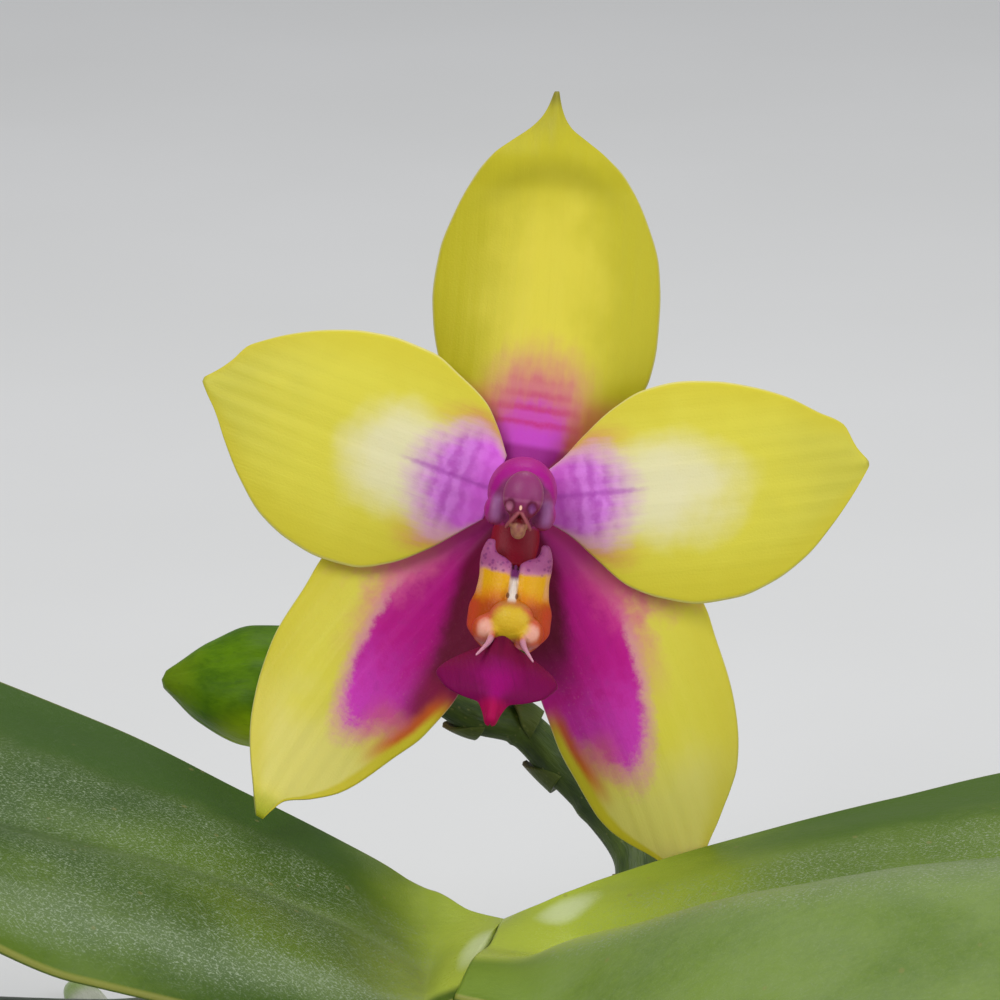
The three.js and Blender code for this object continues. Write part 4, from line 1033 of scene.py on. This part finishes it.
def add_anther_cap():
    dome = ellipsoid((COLUMN_AXIS, 0.4, 13.1), (1.8, 2.2, 1.2))
    beak = sweep(
        path_through([(CAP_AXIS, -1.7, 13.1), (0.12, -2.5, 13.5), (0.15, -3.45, 13.2)]),
        flat=through([(0, 0.6), (0.5, 0.7), (1, 0.5)]), sides=24, steps=16, round_ends=0.25,
    )
    web = ellipsoid((CAP_AXIS, -1.6, 13.1), (0.9, 0.9, 0.5))
    arms = [sweep(
        path_through([
            (CAP_AXIS, -0.95, 14.1), (CAP_AXIS + side * 0.6, -1.8, 13.7), (CAP_AXIS + side * 1.15, -2.65, 13),
        ]),
        flat=through([(0, 0.2), (0.5, 0.24), (1, 0.18)]), sides=16, steps=12, round_ends=0.2,
    ) for side in (-1, 1)]
    points, faces = fused([dome, beak, web, *arms], voxel=0.07, smoothing=4)
    x, y, z = points.T
    for side in (-1, 1):
        hollow = np.exp(-(((x - CAP_AXIS - side * 0.95) / 0.36) ** 2) - ((y + 0.6) / 0.6) ** 2)
        points[:, 2] -= 0.55 * hollow * (z > 13)
    add_fused("anther_cap", points, faces, anther_look())


# A side lobe's keys are (height on the bloom's face, distance from the lip's axis).
LOBE_OUTER = [
    (-13.2, 1.8), (-12.6, 2.7), (-11.4, 3.6), (-10, 3.6), (-8.5, 3.15), (-7, 3), (-5.8, 3.1), (-4.8, 2.95),
    (-3.7, 2.5),
]
LOBE_INNER = [
    (-13.2, 0.8), (-11, 0.3), (-6.6, 0.3), (-5.8, 0.35), (-5.5, 0.85), (-5.2, 1.6), (-4.4, 2.1), (-3.7, 2.2),
]


def side_lobe(side):
    """A pillar that ends in a horn beside the column's hollow and swells out round the callus below."""
    inner, outer = through(LOBE_INNER), through(LOBE_OUTER)
    low, high = LOBE_OUTER[0][0], LOBE_OUTER[-1][0]

    def place(t, s):
        y = low + (high - low) * t
        x = inner(y) + (outer(y) - inner(y)) * (0.5 + 0.5 * s)
        z = 9.1 - 0.16 * x * x - 0.12 * (y + 10) - 0.3 * s * s
        return np.stack([LIP_AXIS + side * x, y, z], -1)

    return blade(place, lambda t, s: 1.05 - 0.45 * smoothstep(t, 0.75, 1) + 0 * s, 70, 24, rim=0.4, tip=0.03)


# The callus: a cushion between two shoulders, on a broad low base, each as (centre, half-sizes)
CALLUS = [
    ((-1.85, -11.7, 9.4), (1.4, 1.35, 1.35)),
    ((1.85, -11.7, 9.4), (1.4, 1.35, 1.35)),
    ((0.15, -10.5, 9.7), (2.0, 1.7, 1.3)),
    ((0.1, -11.2, 9.3), (2.9, 1.4, 1.4)),
]


def feelers():
    """The two fine horns that stand out from under the callus."""
    return [sweep(
        path_through([
            (LIP_AXIS + side * 1.3, -11.8, 10.3), (LIP_AXIS + side * 1.5, -12.6, 12.1),
            (LIP_AXIS + side * 2.0, -13.3, 13.9), (LIP_AXIS + side * 2.6, -14, 15.2),
        ]),
        flat=through([(0, 0.4), (0.6, 0.2), (1, 0.12)]), sides=12, steps=20, round_ends=0.1,
    ) for side in (-1, 1)]


def add_lip_base():
    claw = sweep(
        path_through([(0, -6.8, 5.9), (0, -8.6, 7.1), (0, -10.4, 8.1), (0, -11.6, 8.6)]),
        flat=through([(0, 1.5), (0.5, 2.6), (1, 2)]),
        tall=through([(0, 0.7), (0.5, 1.3), (1, 1)]), sides=32, steps=24,
    )
    ridge = sweep(
        path_through([(LIP_AXIS, -5.9, 7.6), (LIP_AXIS, -7.4, 8.9), (LIP_AXIS + 0.05, -9.6, 10)]),
        flat=through([(0, 0.2), (0.5, 0.3), (1, 0.7)]), tall=through([(0, 0.3), (0.5, 0.5), (1, 0.6)]),
        sides=16, steps=16,
    )
    callus = [ellipsoid((LIP_AXIS + x, y, z), radii) for (x, y, z), radii in CALLUS]
    shells = [claw, ridge, side_lobe(-1), side_lobe(1), *callus, *feelers()]
    points, faces = fused(shells, voxel=0.11, smoothing=4)
    add_fused("lip_base", points, faces, lip_look())


MIDLOBE_START = np.array([0, -12.4, 10.4])
MIDLOBE_TIP = np.array([-0.2, -19.9, 16.2])
MIDLOBE_OUTLINE = [
    (0, 0.12), (0.1, 0.18), (0.2, 0.43), (0.29, 0.68), (0.39, 0.89), (0.46, 0.96), (0.54, 0.89), (0.63, 0.76),
    (0.7, 0.53), (0.76, 0.25), (0.84, 0.15), (0.92, 0.08), (1, 0.03),
]
MIDLOBE_HALF_WIDTH = 5.6


def midlobe_surface():
    width = through(MIDLOBE_OUTLINE)
    run = MIDLOBE_TIP - MIDLOBE_START
    face = -unit(np.array([0, -run[2], run[1]]))

    def place(t, s):
        keel = 0.5 * (1 - np.sqrt(s * s + 0.02)) - 1.1 * s * s * width(t)
        lift = 0.9 * np.sin(np.pi * t) + keel
        sideways = (s * MIDLOBE_HALF_WIDTH * width(t))[..., None] * np.array([1.0, 0, 0])
        return MIDLOBE_START + t[..., None] * run + lift[..., None] * face + sideways

    return place


def add_lip_midlobe():
    def thickness(t, s):
        return 1.1 - 0.45 * np.abs(s)

    shell = blade(midlobe_surface(), thickness, 70, 44, start=0.06, rim=0.08, tip=0.05)
    add_shells("lip_midlobe", [shell.moved(in_bloom)], midlobe_look())


# Stalk, spike and bud
def add_bloom_stalk():
    ribs = 6
    radius = through([
        (0, 2.3), (0.08, HUB_RADIUS), (0.2, 2.1), (0.5, 2), (0.75, PEDICEL_RADIUS), (1, PEDICEL_RADIUS + 0.2),
    ])
    behind_bloom = in_bloom([(0, 0, 1.6), (0, 0, -2.5), (0, 0, -7)])
    points = [*behind_bloom, (2.4, 33.4, 72.6), (3.2, 39, 65.5), PEDICEL_FOOT]

    def ripple(angle, t):
        return 1 + 0.06 * np.sin(np.pi * t) * np.cos(ribs * (angle + 1.2 * t))

    shell = sweep(path_through(points), radius, upright=(1, 0, 0), sides=48, steps=110, ripple=ripple)
    add_shells("bloom_stalk", [shell], stalk_look())


SPIKE_PATH = [
    (0.3, 10.7, 19), (0.4, 10.8, 25), (3, 13.8, 30), (8, 20.4, 33.2), (12, 27, 36), (12.9, 33.4, 39.6),
    (9.2, 38.6, 43.4), (5.6, 41, 46.4), (1.9, 42.6, 49.6), (-2.6, 41.6, 51.2), (-7, 41.2, 54),
]
BRACTS = [(0.4, -1, 5), (0.6, 1, 5.2), (0.7, -1, 5), (0.8, 1, 4.6), (0.9, -1, 4.2)]
SPIKE_LENGTH = 65
BRACT_KIND = 2.0  # marks a bract's points for the material


def bract(path, radius, t, side, length):
    """A scale leaf that clasps one side of the spike and ends in a point that stands off it."""
    along = tangent(path, np.array([t]))[0]
    out = unit(np.cross(along, (0, -1, 0))) * side
    aside = np.cross(along, out)
    wrap = through([(0, 1.5), (0.3, 1.35), (0.7, 0.75), (1, 0.06)])

    def place(u, s):
        angle = s * wrap(u)
        reach = radius(t) + 0.2 + 0.12 * u ** 2
        spoke = np.cos(angle)[..., None] * out + np.sin(angle)[..., None] * aside * 0.9
        return path(t + (u - 0.35) * length / SPIKE_LENGTH) + reach[..., None] * spoke

    shell = blade(place, lambda u, s: 0.7 - 0.35 * np.abs(s), 30, 24, rim=0.1, tip=0.05)
    shell.place[..., 2] = BRACT_KIND
    return shell


def add_flower_spike():
    path = path_through(SPIKE_PATH)
    radius = through([(0, SPIKE_RADIUS + 0.4), (0.1, SPIKE_RADIUS), (0.6, 2.2), (0.95, 1.8), (1, 1.1)])
    nodes = np.array([t for t, _, _ in BRACTS])

    def ripple(angle, t):
        swell = np.exp(-(((t[..., None] - nodes) / 0.012) ** 2)).sum(-1)
        return 1 + 0.07 * swell + 0.02 * np.cos(5 * angle)

    axis = sweep(path, radius, tall=lambda t: 0.82 * radius(t), upright=(0, -1, 0), carried=True,
                 sides=32, steps=200, ripple=ripple)
    bracts = [bract(path, radius, *shape) for shape in BRACTS]
    add_shells("flower_spike", [axis, *bracts], spike_look())


def add_bud():
    path = path_through([
        (-7.7, 41.1, 54.5), (-10.2, 40.8, 54.9), (-13.5, 40.4, 54.3), (-19, 40, 54), (-25.3, 39.3, 54.6),
        (-31.9, 38.4, 55.8),
    ])
    radius = through([
        (0, 1.7), (0.3, 1.9), (0.4, 3.8), (0.6, 6), (0.75, 5.7), (0.88, 3.8), (0.97, 1.4), (1, 0.6),
    ])

    def ripple(angle, t):
        swell = smoothstep(t, 0.4, 0.85)
        keels = np.cos(3 * (angle - 0.6))
        seam = np.exp(-((keels + 1) / 0.05) ** 2)
        return 1 + 0.09 * swell * keels - 0.035 * smoothstep(t, 0.36, 0.5) * seam

    shell = sweep(path, radius, upright=(0, 1, 0), sides=72, steps=110, ripple=ripple, round_ends=0.012)
    add_shells("bud", [shell], bud_look())


# Leaves
def leaf_axes(heading):
    """The level directions along a leaf or root of that heading, and across it."""
    turn = math.radians(heading)
    outwards = np.array([math.cos(turn), math.sin(turn), 0])
    return outwards, np.array([-outwards[1], outwards[0], 0])


def blade_surface(heading, stations, skew, bow, wave):
    """An upper leaf's blade. Each station is (out, up, back half, front half), and each half is
    (width, edge, crest): its reach, its margin's height over the midrib, and its arch between them.
    The near end is cut along a seam that skew and bow slant and curve."""
    outwards, aside = leaf_axes(heading)
    front_sign = 1 if aside[1] < 0 else -1
    line = path_through([out * outwards + (0, 0, up) for out, up, _, _ in stations])
    back, front = ([evenly([station[half][k] for station in stations]) for k in range(3)] for half in (2, 3))

    def place(t, s):
        on_front = s * front_sign > 0
        width, edge, crest = (np.where(on_front, f(t), b(t)) for f, b in zip(front, back))
        reach = np.abs(s)
        arch = 16 * crest * reach**2 * (1 - reach) ** 2
        ruffle = wave * np.sin(19 * t + np.where(s > 0, 1.3, 4)) * smoothstep(t, 0.45, 0.6)
        rise = (edge + ruffle) * s * s + arch
        slant = (skew * s + bow * s * s) * np.maximum(0, 1 - 5 * t)
        off = (s * width)[..., None] * aside + slant[..., None] * outwards
        return line(t) + off + rise[..., None] * (0, 0, 1)

    return place


def clasping_surface(heading, stations, groove, wave):
    """A lower leaf, from its sheath out. Each station is (out, up, half-width, curl)."""
    outwards, aside = leaf_axes(heading)
    line = path_through([out * outwards + (0, 0, up) for out, up, _, _ in stations])
    width, curl = (evenly([station[k] for station in stations]) for k in (2, 3))

    def place(t, s):
        up = unit(np.cross(tangent(line, t), aside))
        arch = 8 * groove * s * s * (1 - np.abs(s)) - 0.08 * s * s
        ruffle = wave * s * s * np.sin(17 * t + np.where(s > 0, 1.3, 4))
        bend = curl(t)
        reach = width(t) * np.sin(bend * s) / bend
        lift = width(t) * (1 - np.cos(bend * s)) / bend
        lift = lift + smoothstep(t, 0.25, 0.6) * (width(t) * arch + ruffle)
        return line(t) + reach[..., None] * aside + lift[..., None] * up

    return place


def blade_thickness(t, s):
    middle = LEAF_BASE_THICKNESS + (LEAF_THICKNESS - LEAF_BASE_THICKNESS) * smoothstep(t, 0.05, 0.3)
    return middle + (LEAF_MARGIN_THICKNESS - middle) * np.abs(s) ** 3


def leaf_relief(seed, start=0.06):
    """A groove down the midrib with a keel under it, and shallow waves and dents in the blade."""
    def relief(t, s, across, side):
        grown = smoothstep(t, start, start + 0.12) * smoothstep(t, 1.0, 0.9)
        groove = np.exp(-((across / 1.5) ** 2)) * grown
        waves = 0.18 * np.sin(0.55 * across + 2.2 * np.sin(9 * t + seed)) * (1 - s * s)
        dents = 0.25 * np.sin(31 * t + seed) * np.sin(5 * s + seed + 7 * t) * (1 - s * s)
        shape = side * grown * (waves + dents)
        return shape + (0.75 * groove if side < 0 else -0.25 * groove)

    return relief


SHEATH_RADIUS = 7.5
SHEATH_WRAP = 84  # degrees that it goes round the stem to either side
SHEATH_FOOT = 21
SHEATH_RIM = 41.6
SHEATH_CORNER = 43.15
SHEATH_MARGIN = 0.8
SHEATH_SHARE = 0.04  # the share of the leaf's length that its material takes the whole sheath for


def sheath_wall(heading):
    """The upright wall that an upper leaf wraps round the stem below its blade."""
    def place(t, s):
        angle = np.radians(s * SHEATH_WRAP)
        top = SHEATH_RIM + (SHEATH_CORNER - SHEATH_RIM) * np.sin(angle) ** 2
        bulge = SHEATH_RADIUS + 0.5 * np.sin(np.pi * t)
        turn = math.radians(heading) + angle
        height = SHEATH_FOOT + (top - SHEATH_FOOT) * t
        return np.stack([bulge * np.cos(turn), bulge * np.sin(turn), height], -1)

    def thickness(t, s):
        return SHEATH_THICKNESS + (SHEATH_MARGIN - SHEATH_THICKNESS) * s**4

    wall = blade(place, thickness, 40, 48)
    wall.place[..., 0] *= SHEATH_SHARE
    return wall


# The seam between the two upper blades, over the stem. It is all but closed here.
SEAM_SHIFT = 1.2
SEAM_GAP = 0.08
SEAM_SKEW = 2.2
SEAM_BOW = 0.6

UPPER_LEAVES = {
    "leaf_upper_left": dict(heading=180, skew=SEAM_SKEW, bow=SEAM_BOW, wave=1.2, stations=[
        (SEAM_SHIFT + SEAM_GAP / 2, 43.6, (7.8, 0, 0), (10.8, 0, 0)),
        (3.8, 42.6, (8.8, 1.6, 0), (11.2, 0.6, 0)),
        (6.4, 41.6, (10.4, 4, 0), (12.6, 1.2, 0)),
        (10, 43.2, (12.4, 3.8, 0), (14.8, 0.6, 0)),
        (15, 46.3, (15, 2.5, 0.3), (17.5, -1.4, 0.8)),
        (23, 49.8, (18.6, 1.8, 0.6), (20.5, -3.4, 1.4)),
        (36, 54, (22.6, 2.9, 0.8), (22.4, -3.4, 2)),
        (52, 57.4, (27, 3.7, 1), (22.4, 0.6, 2.2)),
        (70, 59.4, (31, 4.6, 1.2), (25, 0.8, 2.2)),
        (90, 59, (33.5, 3.5, 1.5), (27.5, 0.5, 2)),
        (110, 55.4, (33, 2, 1.5), (28.5, -0.5, 1.8)),
        (128, 49, (28, 1, 1.2), (25, -1, 1.4)),
        (144, 39.8, (18.5, 0.5, 0.6), (17.5, -0.8, 0.8)),
        (157, 29.5, (1.2, 0, 0), (1.2, 0, 0)),
    ]),
    "leaf_upper_right": dict(heading=0, skew=SEAM_SKEW, bow=-SEAM_BOW, wave=1.1, stations=[
        (SEAM_GAP / 2 - SEAM_SHIFT, 43.6, (7.8, 0, 0), (10.8, 0.5, 0.7)),
        (2.4, 42.9, (8.8, 1.8, 0.3), (12.6, 0.8, 1.6)),
        (6, 42.6, (10.2, 3, 0.5), (16, 0.6, 3.8)),
        (10.5, 44.2, (11.8, 2.3, 0.6), (20, 0, 4.9)),
        (16.5, 46, (13.8, 1.7, 0.6), (24, -0.5, 5.9)),
        (25, 47.6, (16.8, 1.4, 0.8), (27.5, -1.5, 7)),
        (36, 49.2, (20.2, 1.4, 1), (31, -2.5, 8)),
        (50, 50.6, (25, 2, 1.2), (33.5, -3.5, 8)),
        (68, 51.2, (29.5, 1.5, 1.6), (34.5, -4, 6.5)),
        (88, 49.8, (32, 0, 1.8), (34, -4.5, 4.8)),
        (107, 45.4, (31, -1.5, 1.6), (31.5, -4, 3.4)),
        (124, 38.6, (26, -1.5, 1.2), (26, -3, 2)),
        (139, 29.6, (17, -1, 0.6), (17, -1.5, 0.8)),
        (151, 20, (1.2, 0, 0), (1.2, 0, 0)),
    ]),
}
LOWER_LEAVES = {
    "leaf_lower_left": dict(heading=203, groove=0.13, wave=0.9, stations=[
        (9.9, 13.6, 9.5, 0.96), (9.9, 20, 11.2, 1.13), (10.2, 25.6, 11.7, 1.15), (12.4, 30, 12.6, 1),
        (17.4, 32.6, 15.6, 0.7), (27, 34.2, 20, 0.3), (41, 35.6, 25, 0.1), (57, 36, 28.5, 0.05),
        (74, 34.6, 30, 0.05), (91, 31, 29, 0.05), (107, 25.2, 24.5, 0.05), (121, 17.8, 15.5, 0.05),
        (132, 10.2, 1.2, 0.05),
    ]),
    "leaf_lower_right": dict(heading=-20, groove=0.14, wave=0.8, stations=[
        (9.9, 13.6, 9.5, 0.96), (9.9, 19.6, 11.2, 1.13), (10.2, 24.6, 11.7, 1.15), (12.6, 28.4, 12.6, 1),
        (17.8, 30.6, 15.6, 0.7), (27, 31.6, 19.6, 0.3), (40, 32.4, 24, 0.1), (55, 32.4, 27, 0.05),
        (71, 30.6, 28.5, 0.05), (86, 27, 27.5, 0.05), (100, 21.4, 23.5, 0.05), (113, 14.6, 15, 0.05),
        (123, 8, 1.2, 0.05),
    ]),
}

# What the leaves' materials differ in, as leaf_look says
UPPER_MARKS = {
    "leaf_upper_left": dict(front=1, crown=0.12, crest=0.76, tone=0.0, painted_shine=(0.01, 0.0, 0.04, 0.4)),
    "leaf_upper_right": dict(front=-1, crown=0.24, crest=0.42, tone=1.0, painted_shine=(0.145, -0.7, 0.055, 0.18)),
}
LOWER_MARKS = dict(crown=0.3, crest=0.5, tone=0.3, painted_shine=(0.3, -0.5, 0.05, 0.2))


def add_leaves():
    for seed, (name, shape) in enumerate(UPPER_LEAVES.items()):
        relief = leaf_relief(seed * 2.3)
        shell = blade(blade_surface(**shape), blade_thickness, 210, 90, rim=0.02, relief=relief)
        look = leaf_look(name + "_satin", seed * 5.0, **UPPER_MARKS[name])
        add_shells(name, [shell, sheath_wall(shape["heading"])], look)
    for seed, (name, shape) in enumerate(LOWER_LEAVES.items(), start=len(UPPER_LEAVES)):
        relief = leaf_relief(seed * 2.3, start=0.25)
        shell = blade(clasping_surface(**shape), blade_thickness, 190, 80, rim=0.02, relief=relief)
        front = 1 if shape["heading"] > 90 else -1
        look = leaf_look(name + "_satin", seed * 5.0, front, **LOWER_MARKS)
        add_shells(name, [shell], look)


# Stem and roots
def add_stem():
    radius = through([
        (0, STEM_FOOT_RADIUS), (0.04, STEM_RADIUS), (0.31, STEM_RADIUS), (0.77, STEM_RADIUS - 0.2),
        (0.92, 4.6), (0.985, 2.2), (1, 0.3),
    ])

    def ripple(angle, t):
        scars = 0.02 * np.abs(np.sin(24 * t + 0.3 * np.sin(angle))) ** 0.5
        lumps = 0.015 * np.sin(5 * angle + 11 * t) + 0.01 * np.sin(11 * angle - 23 * t)
        return 0.985 - scars + lumps

    def path(t):
        return np.stack([0 * t, 0 * t, STEM_HEIGHT * t], -1)

    shell = sweep(path, radius, upright=(0, 1, 0), sides=64, steps=120, ripple=ripple)
    add_shells("stem", [shell], stem_look())


# Each root: heading in degrees, height on the stem, length of its run, and how far it swings to the side.
ROOTS = [
    (-92, 4.4, 96, 9), (-38, 4.6, 88, -8), (16, 4.4, 92, 7), (66, 4.6, 84, -9), (118, 4.4, 98, 8),
    (160, 4.6, 86, -7), (214, 4.5, 90, 9), (-64, 9.6, 78, -6), (-8, 9.4, 70, 6), (92, 9.6, 74, 6),
    (190, 9.4, 76, -5),
]
# The solid root is eight-sided and lies on a flat, which puts its axis this share of its radius high.
ROOT_FLAT = math.cos(math.pi / 8)


def root_shell(seed, heading, height, run, swing):
    """A root that leaves the stem, comes down to the ground and lies on it in a loose S."""
    outwards, aside = leaf_axes(heading)
    radius = through([(0, 2.3), (0.1, ROOT_RADIUS), (0.85, 2.3), (0.95, 1.8), (1, 0.8)])
    start = STEM_RADIUS + SEAT_GAP + 0.1
    landing = start + 12 + 1.6 * height
    rest = run - landing + start
    under = height - ROOT_RADIUS
    stations = [
        (start, 0, under),
        (start + 5, 0, under - 0.1),
        ((start + landing) / 2 + 1, 0.04 * swing, 0.5 * under),
        (landing, 0.1 * swing, 0),
        (landing + 0.25 * rest, 0.55 * swing, 0),
        (landing + 0.5 * rest, swing, 0),
        (landing + 0.7 * rest, 0.5 * swing, 0),
        (landing + 0.85 * rest, -0.2 * swing, 0),
        (start + run, -0.5 * swing, 0),
    ]
    line = path_through([out * outwards + off * aside + (0, 0, up) for out, off, up in stations])

    def path(t):
        centre = line(t)
        centre[..., 2] = np.maximum(centre[..., 2], 0) + radius(t) * ROOT_FLAT
        return centre

    def ripple(angle, t):
        knots = 0.03 * np.sin(41 * t + seed) + 0.025 * np.sin(2 * angle + 23 * t + seed)
        return 0.985 + knots * smoothstep(t, 0.0, 0.1) * smoothstep(t, 1.0, 0.9)

    shell = sweep(path, radius, sides=28, steps=180, ripple=ripple, round_ends=0.02)
    shell.rings[..., 2] = np.maximum(shell.rings[..., 2], 0.02)
    return shell


def add_roots():
    for i, shape in enumerate(ROOTS):
        name = f"root_{i + 1:02d}"
        add_shells(name, [root_shell(i * 1.7, *shape)], root_look(name, i))


# Floor, light and camera
FLOOR_HALF = 4.0  # metres
WORLD_COLOR = (0.93, 0.95, 1, 1)
WORLD_STRENGTH = 0.34
LIGHT_TARGET = (0, 15, 60)
# Each light: name, place, diameter, watts and colour
LIGHTS = [
    ("key", (-330, -560, 640), 420, 3.4, (1, 1, 1)),
    ("fill", (520, -420, 330), 600, 2.0, (0.95, 0.97, 1)),
    ("top", (60, 260, 700), 380, 1.7, (1, 1, 1)),
]


def look_at(thing, place, target):
    """Puts a light or camera at that place, facing the target."""
    thing.location = Vector(place) * MM
    thing.rotation_euler = (Vector(target) * MM - thing.location).to_track_quat("-Z", "Y").to_euler()
    bpy.context.scene.collection.objects.link(thing)


def add_floor():
    look = Look("floor_pale")
    x, y, z = look.split(look.node("TexCoord").outputs["Object"])
    grain = look.noise(x * 9, y * 9, z, detail=4)
    look.ground(grain.smooth(-0.4, 0.4), (226, 226, 224), (232, 232, 231))
    look.paint(0.8)
    square = [(x * FLOOR_HALF, y * FLOOR_HALF, 0) for x, y in ((-1, -1), (1, -1), (1, 1), (-1, 1))]
    mesh = bpy.data.meshes.new("floor")
    mesh.from_pydata(square, [], [[0, 1, 2, 3]])
    mesh.materials.append(look.material)
    floor = bpy.data.objects.new("floor", mesh)
    bpy.context.scene.collection.objects.link(floor)


def add_light(name, place, size, watts, color):
    lamp = bpy.data.lights.new(name, "AREA")
    lamp.shape = "DISK"
    lamp.size = size * MM
    lamp.energy = watts
    lamp.color = color
    look_at(bpy.data.objects.new(name, lamp), place, LIGHT_TARGET)


def add_world():
    world = bpy.data.worlds.new("studio")
    bpy.context.scene.world = world
    world.use_nodes = True
    background = next(n for n in world.node_tree.nodes if n.type == "BACKGROUND")
    background.inputs["Color"].default_value = WORLD_COLOR
    background.inputs["Strength"].default_value = WORLD_STRENGTH
    bpy.context.scene.view_settings.view_transform = "Standard"


def add_camera():
    elevation = math.radians(CAMERA_ELEVATION)
    target = np.array([0, BLOOM_CENTRE[1], BLOOM_CENTRE[2]])
    place = target + CAMERA_DISTANCE * np.array([0, -math.cos(elevation), math.sin(elevation)])
    lens = bpy.data.cameras.new("camera")
    lens.lens = CAMERA_LENS
    lens.sensor_width = SENSOR_WIDTH
    camera = bpy.data.objects.new("camera", lens)
    look_at(camera, place, target)
    bpy.context.scene.camera = camera


add_camera()
add_floor()
for light in LIGHTS:
    add_light(*light)
add_world()
add_tepals()
add_column()
add_anther_cap()
add_lip_base()
add_lip_midlobe()
add_bloom_stalk()
add_flower_spike()
add_bud()
add_leaves()
add_stem()
add_roots()


def corners(box):
    return [[float(c) for c in corner] for corner in box]
